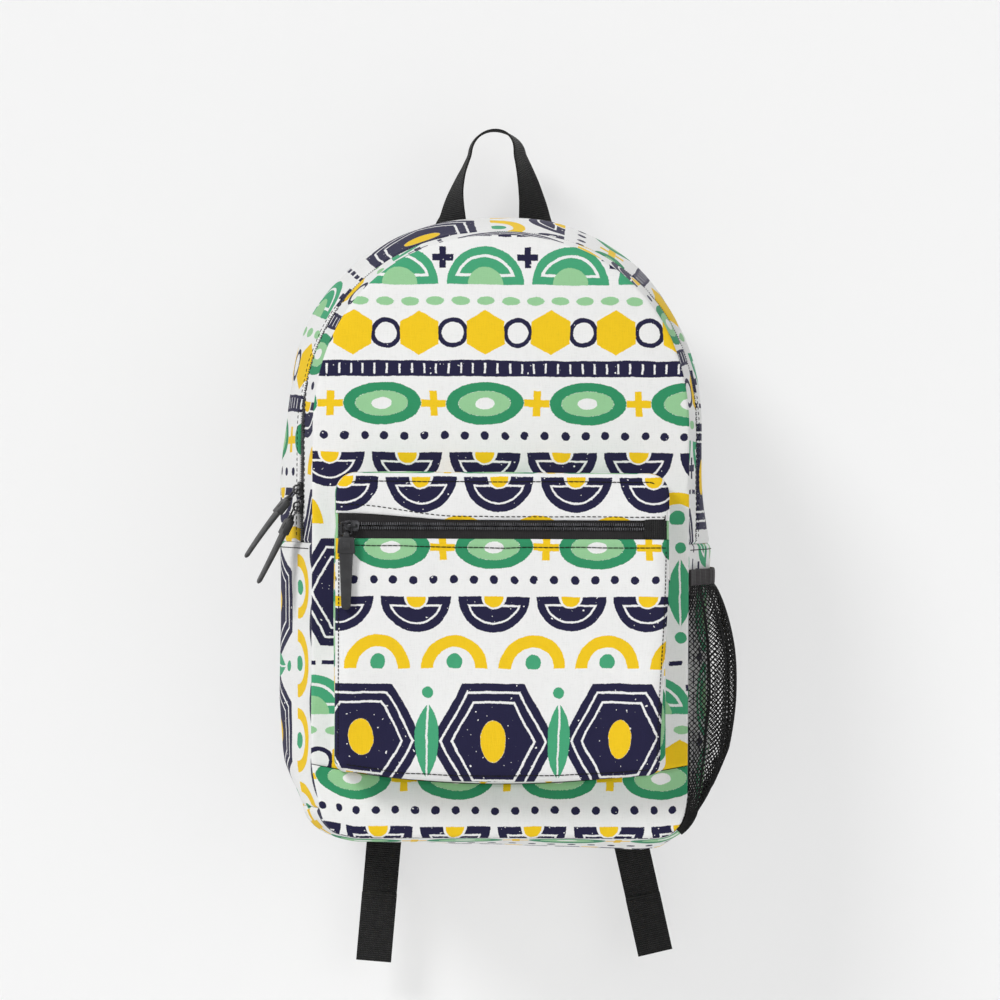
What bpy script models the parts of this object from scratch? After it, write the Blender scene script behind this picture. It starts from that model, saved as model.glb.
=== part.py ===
"""Printed fabric daypack that hangs by its grab loop.

Metres, +Z up. The front faces -Y and the origin is the inside top of the grab loop, where a hook
carries it. The body is a front and a back panel joined by a gusset, with the main zip in the gusset's
arch, a zipped front pocket, a net side pocket, padded shoulder straps and their adjusting webbing.
"""
import math

import bmesh
import bpy
from mathutils import Matrix, Vector

# Clearances and cloth
GAP = 0.0003
SHELL = 0.002
BACK_PAD = 0.006
POCKET_CLOTH = 0.0016
TAPE = 0.0008
WEBBING = 0.0015
WEBBING_WIDTH = 0.025

# Body, seam to seam
TOP_SEAM_DROP = 0.078
PANEL_HALF_WIDTH = 0.132
PANEL_HEIGHT = 0.422
ARCH_HEIGHT = 0.140
ARCH_EXPONENT = 2.2
CORNER_RADIUS = 0.016
BODY_DEPTH = 0.130
FRONT_SWELL = 0.010
SIDE_FLARE = 0.008
SIDE_SWELL = 0.015
END_FLARE = 0.005
END_SWELL = 0.0066
SWELL_SKEW = 1.3
SWELL_SIDE_POWER = 3
SWELL_LOW_POWER = 4
BASE_BAND = 0.038
BASE_SEAM_LIFT = 0.013

# Main zip
ZIP_SETBACK = 0.0267
ZIP_SLOT = 0.0096
ZIP_END_DROP = 0.216
ZIP_TAPE_HALF = 0.013
ZIP_TAPE_TUCK = 0.010
COIL_WIDTH = 0.0044
COIL_HEIGHT = 0.0018
COIL_STOP = 0.002
UPPER_SLIDER_DROP = 0.179
SLIDER_PITCH = 0.012

# Slider, bail and pull
SLIDER_LENGTH = 0.011
SLIDER_WIDTH = 0.008
SLIDER_PLATE = 0.0015
CHANNEL_SLACK = 0.0004
CROWN_LENGTH = 0.0072
CROWN_HEIGHT = 0.0042
CROWN_WIDTH = 0.0024
CROWN_WALL = 0.0012
SLIDER_NOSE = 0.003
SLIDER_TAPER = 0.0012
WIRE_RADIUS = 0.0007
BAIL_WIDTH = 0.0072
BAIL_LENGTH = 0.0085
LUG_WIDTH = 0.0042
LUG_RADIUS = 0.0021
LUG_HOLE = 0.0011
LUG_REACH = 0.0019
BLOCK_LENGTH = 0.0115
BLOCK_WIDTH = 0.0112
BLOCK_THICK = 0.005
GRIP_LENGTH = 0.039
GRIP_WIDTH = 0.0086
GRIP_TIP_WIDTH = 0.0058
GRIP_THICK = 0.0034
GRIP_TIP_THICK = 0.0024
GRIP_END_SHARE = 0.55
BLOCK_EDGE = 0.001
PULL_CHAMFER = 0.25
MAIN_BAIL_LEAN = 42.0
UPPER_PULL_LEAN = 40.0
LOWER_PULL_LEAN = 27.0
UPPER_GRIP_BEND = -6.0
LOWER_GRIP_BEND = 2.0

# Front pocket
POCKET_HALF_WIDTH = 0.116
POCKET_TOP_DROP = 0.1666
POCKET_HEIGHT = 0.209
POCKET_DEPTH = 0.033
POCKET_TOP_RADIUS = 0.014
POCKET_BOTTOM_RADIUS = 0.008
POCKET_EDGE_ROLL = 0.003
POCKET_ROLL_WIDTH = 0.012
POCKET_ZIP_DROP = 0.0367
POCKET_ZIP_SLOT = 0.0175
POCKET_TAPE_TUCK = 0.005
POCKET_COIL_END = 0.009
END_TAB_LENGTH = 0.018
END_TAB_WIDTH = 0.0165
END_TAB_THICK = 0.0012
POCKET_SLIDER_INSET = 0.0053

# Net side pocket
NET_TOP_DROP = 0.2455
NET_BAND = 0.0115
NET_THICK = 0.0008
NET_SWELL = 0.017
NET_MOUTH = 0.006
NET_ROUNDING = 0.8
NET_ROWS = 16
NET_COLUMNS = 14
NET_HOLE = 0.8
BAND_THICK = 0.0014

# Grab loop
LOOP_THICK = 0.002
LOOP_TOP_RADIUS = 0.017
LOOP_FOOT_HALF = 0.030
LOOP_FOOT_LENGTH = 0.018
LOOP_TWIST_RISE = 0.004
LOOP_TWIST_END = 0.85

# Shoulder straps
STRAP_TOP_DROP = 0.0205
STRAP_TOP_X = 0.050
LEFT_STRAP_LOW_X = -0.069
RIGHT_STRAP_LOW_X = 0.080
STRAP_DROP = 0.292
STRAP_WIDTH = 0.058
STRAP_LOW_WIDTH = 0.046
STRAP_THICK = 0.010
STRAP_END_THICK = 0.005
STRAP_BOW = 0.024
STRAP_END_BOW = 0.011
STRAP_TOP_TAPER = (0.02, 0.14)
STRAP_LOW_TAPER = (0.84, 0.93)
STRAP_SPREAD = (0.03, 0.85)
STRAP_BOW_OUT = (0.06, 0.5)
STRAP_BOW_IN = (0.55, 0.92)

# Ladder locks, webbing and anchors
LOCK_THICK = 0.0032
LOCK_RAIL = 0.0035
LOCK_TOP_BAR = 0.0035
LOCK_UPPER_SLOT = 0.009
LOCK_MIDDLE_BAR = 0.0035
LOCK_LOWER_SLOT = 0.0055
LOCK_LOW_BAR = 0.005
LOCK_SLOT_SLACK = 0.0008
LOCK_EDGE = 0.0004
LOCK_LOOP_REACH = 0.020
LEFT_TAIL_SHOWN = 0.0855
RIGHT_TAIL_SHOWN = 0.080
TAIL_FOLD = 0.050
LEFT_TAIL_LEAN = -0.0163
RIGHT_TAIL_LEAN = 0.0378
ANCHOR_X = 0.092
ANCHOR_RISE = 0.012
ANCHOR_LAP = 0.020
TAB_LENGTH = 0.030
TAB_WIDE = 0.050
TAB_NARROW = 0.029
TAB_THICK = 0.0024
TAB_FOOT = 0.004

# How finely the surfaces are faceted
SMOOTH_ANGLE = 30.0
ARCH_STEPS = 30
FRONT_ARCH_STEPS = 36
SIDE_STEPS = 3
CORNER_STEPS = 5
DEPTH_STEPS = 8
STRAP_STEPS = 26
PAD_SIDES = 12
PAD_FLATNESS = 0.45
PAD_EDGE = 0.7
WIRE_SIDES = 8

# Levels that follow from the sizes above
TOP_Z = -TOP_SEAM_DROP
BOTTOM_Z = TOP_Z - PANEL_HEIGHT
SPRING_Z = TOP_Z - ARCH_HEIGHT
CORNER_Z = BOTTOM_Z + CORNER_RADIUS
ZIP_END_Z = TOP_Z - ZIP_END_DROP
BACK_Y = 0.0
FRONT_Y = BACK_Y - BODY_DEPTH
GUSSET_FRONT_Y = FRONT_Y + SHELL + GAP
GUSSET_BACK_Y = BACK_Y - GAP
GUSSET_DEPTH = GUSSET_BACK_Y - GUSSET_FRONT_Y
BACK_FACE_Y = BACK_Y + BACK_PAD
ZIP_V = ZIP_SETBACK / GUSSET_DEPTH
POCKET_TOP_Z = TOP_Z - POCKET_TOP_DROP
POCKET_BOTTOM_Z = POCKET_TOP_Z - POCKET_HEIGHT
POCKET_ZIP_Z = POCKET_TOP_Z - POCKET_ZIP_DROP
POCKET_Y = FRONT_Y - POCKET_DEPTH
NET_TOP_Z = TOP_Z - NET_TOP_DROP
CHANNEL_ROOF = COIL_HEIGHT + CHANNEL_SLACK
SLIDER_TOP = CHANNEL_ROOF + SLIDER_PLATE
BAIL_HEIGHT = SLIDER_TOP + (CROWN_HEIGHT - CROWN_WALL) / 2
STRAP_TOP_Z = TOP_Z - STRAP_TOP_DROP
STRAP_LOW_Z = STRAP_TOP_Z - STRAP_DROP
LOCK_Y = BACK_FACE_Y + GAP + STRAP_END_THICK / 2 + STRAP_END_BOW
CREST_Z = BOTTOM_Z - END_FLARE - END_SWELL


def clear_scene():
    for old in list(bpy.data.objects):
        bpy.data.objects.remove(old, do_unlink=True)


def material(name, color, roughness, metallic=0.0):
    made = bpy.data.materials.new(name)
    made.use_nodes = True
    shader = made.node_tree.nodes["Principled BSDF"]
    shader.inputs["Base Color"].default_value = (*color, 1.0)
    shader.inputs["Roughness"].default_value = roughness
    shader.inputs["Metallic"].default_value = metallic
    return made


LOOKS = {
    "print": ((0.86, 0.86, 0.85), 0.9, 0.0),
    "back_cloth": ((0.05, 0.05, 0.055), 0.95, 0.0),
    "webbing": ((0.035, 0.035, 0.037), 0.85, 0.0),
    "elastic": ((0.05, 0.047, 0.048), 0.9, 0.0),
    "net": ((0.015, 0.015, 0.017), 0.8, 0.0),
    "zip_tape": ((0.033, 0.03, 0.032), 0.85, 0.0),
    "zip_coil": ((0.03, 0.03, 0.03), 0.4, 0.0),
    "slider_metal": ((0.04, 0.04, 0.042), 0.35, 0.6),
    "pull_rubber": ((0.045, 0.045, 0.047), 0.5, 0.0),
    "lock_plastic": ((0.02, 0.02, 0.021), 0.4, 0.0),
}


def solid(name, vertices, faces, look, origin=(0, 0, 0)):
    """One closed body with its faces turned outward, and its own material."""
    origin = Vector(origin)
    mesh = bpy.data.meshes.new(name)
    mesh.from_pydata([Vector(v) - origin for v in vertices], [], faces)
    work = bmesh.new()
    work.from_mesh(mesh)
    bmesh.ops.recalc_face_normals(work, faces=work.faces)
    work.to_mesh(mesh)
    work.free()
    made = bpy.data.objects.new(name, mesh)
    made.location = origin
    mesh.materials.append(material(name, *LOOKS[look]))
    mesh.shade_smooth()
    mesh.set_sharp_from_angle(angle=math.radians(SMOOTH_ANGLE))
    bpy.context.collection.objects.link(made)
    return made


def slab(outer, inner):
    """Vertices and faces of a closed sheet between two grids of points with the same counts."""
    rows, columns = len(outer), len(outer[0])
    vertices = [p for grid in (outer, inner) for row in grid for p in row]
    shift = rows * columns
    faces = []
    for i in range(rows - 1):
        for j in range(columns - 1):
            a = i * columns + j
            quad = (a, a + 1, a + columns + 1, a + columns)
            faces.append(quad)
            faces.append(tuple(k + shift for k in reversed(quad)))
    rim = [j for j in range(columns)]
    rim += [i * columns + columns - 1 for i in range(1, rows)]
    rim += [(rows - 1) * columns + j for j in range(columns - 2, -1, -1)]
    rim += [i * columns for i in range(rows - 2, 0, -1)]
    for a, b in zip(rim, rim[1:] + rim[:1]):
        faces.append((a, a + shift, b + shift, b))
    return vertices, faces


def loft(sections, closed=False):
    """Vertices and faces of a tube through sections that have the same number of points."""
    count = len(sections[0])
    vertices = [p for section in sections for p in section]
    faces = []
    spans = len(sections) if closed else len(sections) - 1
    for i in range(spans):
        here, there = i * count, (i + 1) % len(sections) * count
        for k in range(count):
            m = (k + 1) % count
            faces.append((here + k, here + m, there + m, there + k))
    if not closed:
        last = (len(sections) - 1) * count
        faces.append(tuple(reversed(range(count))))
        faces.append(tuple(last + k for k in range(count)))
    return vertices, faces


def fan(outline, centre, rings, outer_y, inner_y):
    """A closed panel: rings shrunk from an outline to its centre, at two depths."""
    vertices, faces = [], []
    for depth in (outer_y, inner_y):
        for share in rings:
            for x, z in outline:
                px = centre[0] + share * (x - centre[0])
                pz = centre[1] + share * (z - centre[1])
                vertices.append((px, depth(px, pz), pz))
        vertices.append((centre[0], depth(*centre), centre[1]))
    count = len(outline)
    side = len(rings) * count + 1
    for base in (0, side):
        for r in range(len(rings) - 1):
            for k in range(count):
                m = (k + 1) % count
                a = base + r * count
                faces.append((a + k, a + m, a + count + m, a + count + k))
        inmost = base + (len(rings) - 1) * count
        for k in range(count):
            faces.append((inmost + k, inmost + (k + 1) % count, base + side - 1))
    for k in range(count):
        m = (k + 1) % count
        faces.append((k, side + k, side + m, m))
    return vertices, faces


def spread(start, end, steps):
    return [start + (end - start) * i / steps for i in range(steps + 1)]


def tangents(path):
    ends = [path[0]] + list(path) + [path[-1]]
    return [(b - a).normalized() for a, b in zip(ends, ends[2:])]


def ribbon(path, across, widths, thicks):
    """A flat band along a path: across gives the direction of its width at each point."""
    sections = []
    for point, along, side, width, thick in zip(path, tangents(path), across, widths, thicks):
        side = (side - side.dot(along) * along).normalized() * width / 2
        up = along.cross(side).normalized() * thick / 2
        sections.append([point + side + up, point - side + up, point - side - up, point + side - up])
    return loft(sections)


# The body's outline and surfaces

def arch_route(steps):
    """Points of the arch from the left spring line to the right, each with its outward normal."""
    route = []
    for i in range(steps + 1):
        angle = math.pi * (1 - i / steps)
        side = math.copysign(abs(math.cos(angle)) ** (2 / ARCH_EXPONENT), math.cos(angle))
        rise = max(0.0, math.sin(angle)) ** (2 / ARCH_EXPONENT)
        slope_x = math.copysign(abs(side) ** (ARCH_EXPONENT - 1), side) / PANEL_HALF_WIDTH
        slope_z = rise ** (ARCH_EXPONENT - 1) / ARCH_HEIGHT
        size = math.hypot(slope_x, slope_z)
        x, z = PANEL_HALF_WIDTH * side, SPRING_Z + ARCH_HEIGHT * rise
        route.append((x, z, slope_x / size, slope_z / size))
    return route


def side_route(side, top, bottom, steps):
    return [(side * PANEL_HALF_WIDTH, z, side, 0.0) for z in spread(top, bottom, steps)]


def corner_route(side, start, steps):
    """A bottom corner from its side tangent down to its bottom tangent."""
    middle = PANEL_HALF_WIDTH - CORNER_RADIUS
    route = []
    for angle in spread(start, math.pi / 2, steps):
        out, down = math.cos(angle), -math.sin(angle)
        x = side * (middle + CORNER_RADIUS * out)
        route.append((x, CORNER_Z + CORNER_RADIUS * down, side * out, down))
    return route


def zip_route(below):
    """The gusset's zipped arch, from a level on the left side over to the same on the right."""
    left = side_route(-1, ZIP_END_Z - below, SPRING_Z, SIDE_STEPS)[:-1]
    right = side_route(1, SPRING_Z, ZIP_END_Z - below, SIDE_STEPS)[1:]
    return left + arch_route(ARCH_STEPS) + right


def bottom_route():
    left = corner_route(-1, GAP / CORNER_RADIUS, CORNER_STEPS)
    right = corner_route(1, GAP / CORNER_RADIUS, CORNER_STEPS)[::-1]
    middle = PANEL_HALF_WIDTH - CORNER_RADIUS
    floor = [(x, BOTTOM_Z, 0.0, -1.0) for x in spread(-middle, middle, 6)[1:-1]]
    return left + floor + right


def swell(v, normal_x):
    """How far the gusset stands out of the seam outline at depth share v, and its slope there."""
    sideways = normal_x * normal_x
    flare = END_FLARE + (SIDE_FLARE - END_FLARE) * sideways
    bulge = END_SWELL + (SIDE_SWELL - END_SWELL) * sideways
    phase = math.pi * v ** SWELL_SKEW
    out = flare * v + bulge * math.sin(phase)
    slope = flare + bulge * math.pi * SWELL_SKEW * v ** (SWELL_SKEW - 1) * math.cos(phase)
    return out, slope


def gusset_normal(place, v):
    slope = swell(v, place[2])[1]
    return Vector((place[2] * GUSSET_DEPTH, -slope, place[3] * GUSSET_DEPTH)).normalized()


def gusset_point(place, v, offset):
    x, z, normal_x, normal_z = place
    out = swell(v, normal_x)[0]
    y = GUSSET_FRONT_Y + v * GUSSET_DEPTH
    return Vector((x + normal_x * out, y, z + normal_z * out)) + gusset_normal(place, v) * offset


def gusset_strip(name, look, route, shares, top, bottom):
    outer = [[gusset_point(p, v, top) for v in shares] for p in route]
    inner = [[gusset_point(p, v, bottom) for v in shares] for p in route]
    return solid(name, *slab(outer, inner), look)


def front_y(x, z):
    """The front panel's outer surface, swollen inside its seams."""
    if z > SPRING_Z:
        sideways = (abs(x) / PANEL_HALF_WIDTH) ** ARCH_EXPONENT
        upwards = ((z - SPRING_Z) / ARCH_HEIGHT) ** ARCH_EXPONENT
        across = (sideways + upwards) ** (1 / ARCH_EXPONENT)
        down = 0.0
    else:
        across = abs(x) / PANEL_HALF_WIDTH
        down = (SPRING_Z - z) / (SPRING_Z - BOTTOM_Z)
    across, down = min(across, 1.0), min(down, 1.0)
    return FRONT_Y - FRONT_SWELL * (1 - across ** SWELL_SIDE_POWER) * (1 - down ** SWELL_LOW_POWER)


def base_seam(x):
    """The level of the seam between the front panel and its base band, which rises to both sides."""
    return BOTTOM_Z + BASE_BAND + BASE_SEAM_LIFT * (x / PANEL_HALF_WIDTH) ** 2


def bottom_edge(x, half_width, floor, radius):
    past = abs(x) - (half_width - radius)
    if past <= 0:
        return floor
    return floor + radius - math.sqrt(max(0.0, radius * radius - past * past))


def edge_columns(half_width, radius, steps):
    """Positions across a panel, closer together round its rounded corners."""
    middle = half_width - radius
    turn = [middle + radius * math.sin(a) for a in spread(0, math.pi / 2, 4)][1:]
    return [-x for x in turn[::-1]] + spread(-middle, middle, steps) + turn


def make_body():
    arch = [(x, z) for x, z, _, _ in arch_route(FRONT_ARCH_STEPS)]
    level = base_seam(PANEL_HALF_WIDTH) + GAP
    left = [(-PANEL_HALF_WIDTH, z) for z in spread(level, SPRING_Z, 8)[:-1]]
    right = [(PANEL_HALF_WIDTH, z) for z in spread(SPRING_Z, level, 8)[1:]]
    floor = [(x, base_seam(x) + GAP) for x in spread(PANEL_HALF_WIDTH, -PANEL_HALF_WIDTH, 12)[1:-1]]
    centre = (0.0, (TOP_Z + level) / 2)
    rings = (1.0, 0.9, 0.75, 0.55, 0.3)
    outline = left + arch + right + floor
    vertices, faces = fan(outline, centre, rings, front_y, lambda x, z: front_y(x, z) + SHELL)
    solid("front_panel", vertices, faces, "print")

    columns = edge_columns(PANEL_HALF_WIDTH, CORNER_RADIUS, 12)
    outer, inner = [], []
    for x in columns:
        low = bottom_edge(x, PANEL_HALF_WIDTH, BOTTOM_Z, CORNER_RADIUS)
        levels = spread(base_seam(x) - GAP, low, 3)
        outer.append([(x, front_y(x, z), z) for z in levels])
        inner.append([(x, front_y(x, z) + SHELL, z) for z in levels])
    solid("base_front_panel", *slab(outer, inner), "print")

    route = side_route(-1, CORNER_Z, SPRING_Z, SIDE_STEPS)[:-1] + arch_route(ARCH_STEPS)
    route += side_route(1, SPRING_Z, CORNER_Z, SIDE_STEPS)[1:]
    route += corner_route(1, 0.0, CORNER_STEPS)[1:] + corner_route(-1, 0.0, CORNER_STEPS)[:0:-1]
    back = []
    for place in route:
        out = swell(1.0, place[2])[0]
        back.append((place[0] + place[2] * out, place[1] + place[3] * out))
    centre = (0.0, (TOP_Z + BOTTOM_Z) / 2)
    vertices, faces = fan(back, centre, (1.0, 0.5), lambda x, z: BACK_Y, lambda x, z: BACK_FACE_Y)
    solid("back_panel", vertices, faces, "back_cloth")


def make_gusset():
    slot = ZIP_SLOT / 2 / GUSSET_DEPTH
    arch = zip_route(0.0)
    front, back = spread(0.0, ZIP_V - slot, 3), spread(ZIP_V + slot, 1.0, DEPTH_STEPS + 1)
    gusset_strip("gusset_front_strip", "print", arch, front, 0.0, -SHELL)
    gusset_strip("gusset_back_strip", "print", arch, back, 0.0, -SHELL)
    whole = spread(0.0, 1.0, NET_COLUMNS)
    for side, name in ((-1, "side_gusset_left"), (1, "side_gusset_right")):
        route = side_route(side, ZIP_END_Z - GAP, CORNER_Z, 2)
        gusset_strip(name, "print", route, whole, 0.0, -SHELL)
    shares = spread(0.0, 1.0, DEPTH_STEPS)
    gusset_strip("bottom_panel", "print", bottom_route(), shares, 0.0, -SHELL)


def make_main_zip():
    route = zip_route(ZIP_TAPE_TUCK)
    half, middle = ZIP_TAPE_HALF / GUSSET_DEPTH, GAP / GUSSET_DEPTH
    top, bottom = -SHELL - GAP, -SHELL - GAP - TAPE
    front = spread(ZIP_V - half, ZIP_V - middle, 2)
    back = spread(ZIP_V + middle, ZIP_V + half, 2)
    gusset_strip("main_zip_front_tape", "zip_tape", route, front, top, bottom)
    gusset_strip("main_zip_back_tape", "zip_tape", route, back, top, bottom)
    coil = COIL_WIDTH / 2 / GUSSET_DEPTH
    shares = spread(ZIP_V - coil, ZIP_V + coil, 2)
    route = zip_route(-COIL_STOP)
    gusset_strip("main_zip_coil", "zip_coil", route, shares, COIL_HEIGHT - SHELL, -SHELL)


# Sliders, bails and pulls are made in a frame of their own: X across the zip, Y out of it, Z along it

def box_points(low, high):
    xs, ys, zs = zip(low, high)
    return [Vector((x, y, z)) for x in xs for y in ys for z in zs]


BOX_FACES = [(0, 1, 3, 2), (4, 6, 7, 5), (0, 4, 5, 1), (2, 3, 7, 6), (0, 2, 6, 4), (1, 5, 7, 3)]


def tool(name, vertices, faces, frame):
    made = solid(name, [frame @ Vector(v) for v in vertices], faces, "slider_metal")
    made.hide_render = True
    made.display_type = "WIRE"
    return made


def combine(target, other, operation):
    step = target.modifiers.new(other.name, "BOOLEAN")
    step.operation = operation
    step.solver = "EXACT"
    step.object = other


def prism(outline, low, high):
    """An outline in the local YZ plane, carried along X."""
    return loft([[Vector((x, y, z)) for y, z in outline] for x in (low, high)])


def make_slider(name, frame):
    half, reach = SLIDER_WIDTH / 2, SLIDER_LENGTH / 2
    nose = reach - SLIDER_NOSE
    waist = half - SLIDER_TAPER
    plan = [(-waist, -reach), (waist, -reach), (half, -nose), (half, nose), (waist, reach)]
    plan += [(-waist, reach), (-half, nose), (-half, -nose)]
    sections = [[Vector((x, y, z)) for x, z in plan] for y in (GAP, SLIDER_TOP)]
    vertices, faces = loft(sections)
    body = solid(name, [frame @ v for v in vertices], faces, "slider_metal", frame.translation)

    channel = COIL_WIDTH / 2 + CHANNEL_SLACK
    corners = box_points((-channel, -reach, -2 * reach), (channel, CHANNEL_ROOF, 2 * reach))
    combine(body, tool(name + "_channel", corners, BOX_FACES, frame), "DIFFERENCE")

    foot = SLIDER_TOP - SLIDER_PLATE / 2
    peak = SLIDER_TOP + CROWN_HEIGHT
    end = -CROWN_LENGTH / 2
    outside = [(foot, end), (peak - CROWN_WALL, end), (peak, end + CROWN_WALL)]
    outside += [(y, -z) for y, z in outside[::-1]]
    crown = tool(name + "_crown", *prism(outside, -CROWN_WIDTH / 2, CROWN_WIDTH / 2), frame)
    combine(body, crown, "UNION")
    eye = CROWN_LENGTH / 2 - CROWN_WALL
    inside = [(SLIDER_TOP, -eye), (peak - CROWN_WALL, -eye), (peak - CROWN_WALL, eye), (SLIDER_TOP, eye)]
    hole = tool(name + "_eye", *prism(inside, -CROWN_WIDTH, CROWN_WIDTH), frame)
    combine(body, hole, "DIFFERENCE")
    return body


def ring_points(width, length, corner, steps):
    """A rounded rectangle in the XZ plane from its top bar's middle, hanging down."""
    points = []
    for sx, sz, start in ((1, 0, 90), (1, -1, 0), (-1, -1, -90), (-1, 0, 180)):
        cx = sx * (width / 2 - corner)
        cz = -corner if sz == 0 else -length + corner
        for i in range(steps + 1):
            angle = math.radians(start - 90 * i / steps)
            points.append(Vector((cx + corner * math.cos(angle), 0, cz + corner * math.sin(angle))))
    return points


def wire_ring(name, frame, side_hung):
    """A wire loop. Its top bar is at the frame's origin, or its right bar when side_hung."""
    points = ring_points(BAIL_WIDTH, BAIL_LENGTH, 2 * WIRE_RADIUS, 3)
    if side_hung:
        points = [p + Vector((-BAIL_WIDTH / 2, 0, BAIL_LENGTH / 2)) for p in points]
    count = len(points)
    sections = []
    for k, point in enumerate(points):
        along = (points[(k + 1) % count] - points[k - 1]).normalized()
        out = Vector((0, 1, 0)).cross(along)
        turn = spread(0, 2 * math.pi, WIRE_SIDES)[:-1]
        up = Vector((0, 1, 0))
        sections.append([point + WIRE_RADIUS * (math.cos(a) * out + math.sin(a) * up) for a in turn])
    vertices, faces = loft(sections, closed=True)
    return solid(name, [frame @ v for v in vertices], faces, "slider_metal", frame.translation)


def pull_section(centre, lean, width, thick):
    """An eight-sided section across the pull, turned by the lean of the grip there."""
    cut = min(width, thick) * PULL_CHAMFER
    x, y = width / 2, thick / 2
    ring = [(x - cut, -y), (x, -y + cut), (x, y - cut), (x - cut, y)]
    ring += [(-px, py) for px, py in ring[::-1]]
    out = Vector((0, math.cos(lean), math.sin(lean)))
    return [centre + Vector((px, 0, 0)) + out * py for px, py in ring]


def make_pull(name, frame, bend):
    """A moulded pull that hangs from the frame's origin: lug with an eye, block and bent grip."""
    low = LUG_REACH + BLOCK_LENGTH
    narrow, thin = BLOCK_WIDTH - BLOCK_EDGE, BLOCK_THICK - BLOCK_EDGE
    stations = [(LUG_REACH, narrow, thin), (LUG_REACH + BLOCK_EDGE, BLOCK_WIDTH, BLOCK_THICK)]
    stations += [(low - BLOCK_EDGE, BLOCK_WIDTH, BLOCK_THICK), (low, narrow, thin)]
    for share in (0.01, 0.2, 0.4, 0.6, 0.8, 0.93, 1.0):
        tip = GRIP_TIP_WIDTH * (GRIP_END_SHARE if share == 1.0 else 1.0)
        width = GRIP_WIDTH + (tip - GRIP_WIDTH) * share
        thick = GRIP_THICK + (GRIP_TIP_THICK - GRIP_THICK) * share
        stations.append((low + GRIP_LENGTH * share, width, thick))
    sections = []
    centre, last = Vector((0, 0, 0)), 0.0
    for depth, width, thick in stations:
        past = max(0.0, depth - low) / GRIP_LENGTH
        lean = math.radians(bend) * past
        centre = centre + (depth - last) * Vector((0, math.sin(lean), -math.cos(lean)))
        last = depth
        sections.append(pull_section(centre, lean, width, thick))
    vertices, faces = loft(sections)
    body = solid(name, [frame @ v for v in vertices], faces, "pull_rubber", frame.translation)
    arc = [math.radians(a) for a in (0, 36, 72, 108, 144, 180)]
    lug = [(LUG_RADIUS * math.cos(a), LUG_RADIUS * math.sin(a)) for a in arc]
    root = -LUG_REACH - BLOCK_EDGE
    lug += [(-LUG_RADIUS, root), (LUG_RADIUS, root)]
    combine(body, tool(name + "_lug", *prism(lug, -LUG_WIDTH / 2, LUG_WIDTH / 2), frame), "UNION")
    eye = [(LUG_HOLE * math.cos(a), LUG_HOLE * math.sin(a)) for a in spread(0, 2 * math.pi, 10)[:-1]]
    combine(body, tool(name + "_eye", *prism(eye, -LUG_WIDTH, LUG_WIDTH), frame), "DIFFERENCE")
    return body


def frame_of(point, out, along):
    """A frame with Y along out and Z along the given direction."""
    out, along = out.normalized(), along.normalized()
    across = out.cross(along)
    turn = Matrix((across, out, along)).transposed().to_4x4()
    return Matrix.Translation(point) @ turn


def lean_by(degrees):
    """Leans what hangs down out of the zip, about the bar across it."""
    return Matrix.Rotation(math.radians(degrees), 4, "X")


def make_main_sliders():
    upper = ("upper", 0.0, MAIN_BAIL_LEAN, UPPER_PULL_LEAN, UPPER_GRIP_BEND)
    lower = ("lower", SLIDER_PITCH, LOWER_PULL_LEAN, LOWER_PULL_LEAN, LOWER_GRIP_BEND)
    for name, drop, bail_lean, lean, bend in (upper, lower):
        place = (-PANEL_HALF_WIDTH, TOP_Z - UPPER_SLIDER_DROP - drop, -1.0, 0.0)
        out = gusset_normal(place, ZIP_V)
        zip_frame = frame_of(gusset_point(place, ZIP_V, -SHELL), out, Vector((0, 0, 1)))
        make_slider("main_slider_" + name, zip_frame)
        hinge = zip_frame @ Matrix.Translation((0, BAIL_HEIGHT, 0))
        wire_ring("main_bail_" + name, hinge @ lean_by(bail_lean), False)
        low_bar = hinge @ lean_by(bail_lean) @ Matrix.Translation((0, 0, -BAIL_LENGTH))
        pull_frame = Matrix.Translation(low_bar.translation) @ zip_frame.to_3x3().to_4x4() @ lean_by(lean)
        make_pull("main_pull_" + name, pull_frame, bend)


# Front pocket

def pocket_y(x, z):
    """The pocket's front surface: flat, and rolled back at its sides and bottom."""
    near = min(POCKET_HALF_WIDTH - abs(x), z - POCKET_BOTTOM_Z)
    share = min(1.0, max(0.0, near / POCKET_ROLL_WIDTH))
    return POCKET_Y + POCKET_EDGE_ROLL * (1 - share) ** 2


def pocket_columns(radius):
    flat = POCKET_HALF_WIDTH - POCKET_ROLL_WIDTH
    rolled = [flat + POCKET_ROLL_WIDTH * s for s in (0.35, 0.65)]
    corner = POCKET_HALF_WIDTH - radius
    turn = [corner + radius * math.sin(a) for a in spread(0, math.pi / 2, 4)]
    side = sorted({round(x, 7) for x in [flat] + rolled + turn})
    return [-x for x in side[::-1]] + spread(-flat, flat, 8)[1:-1] + side


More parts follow.
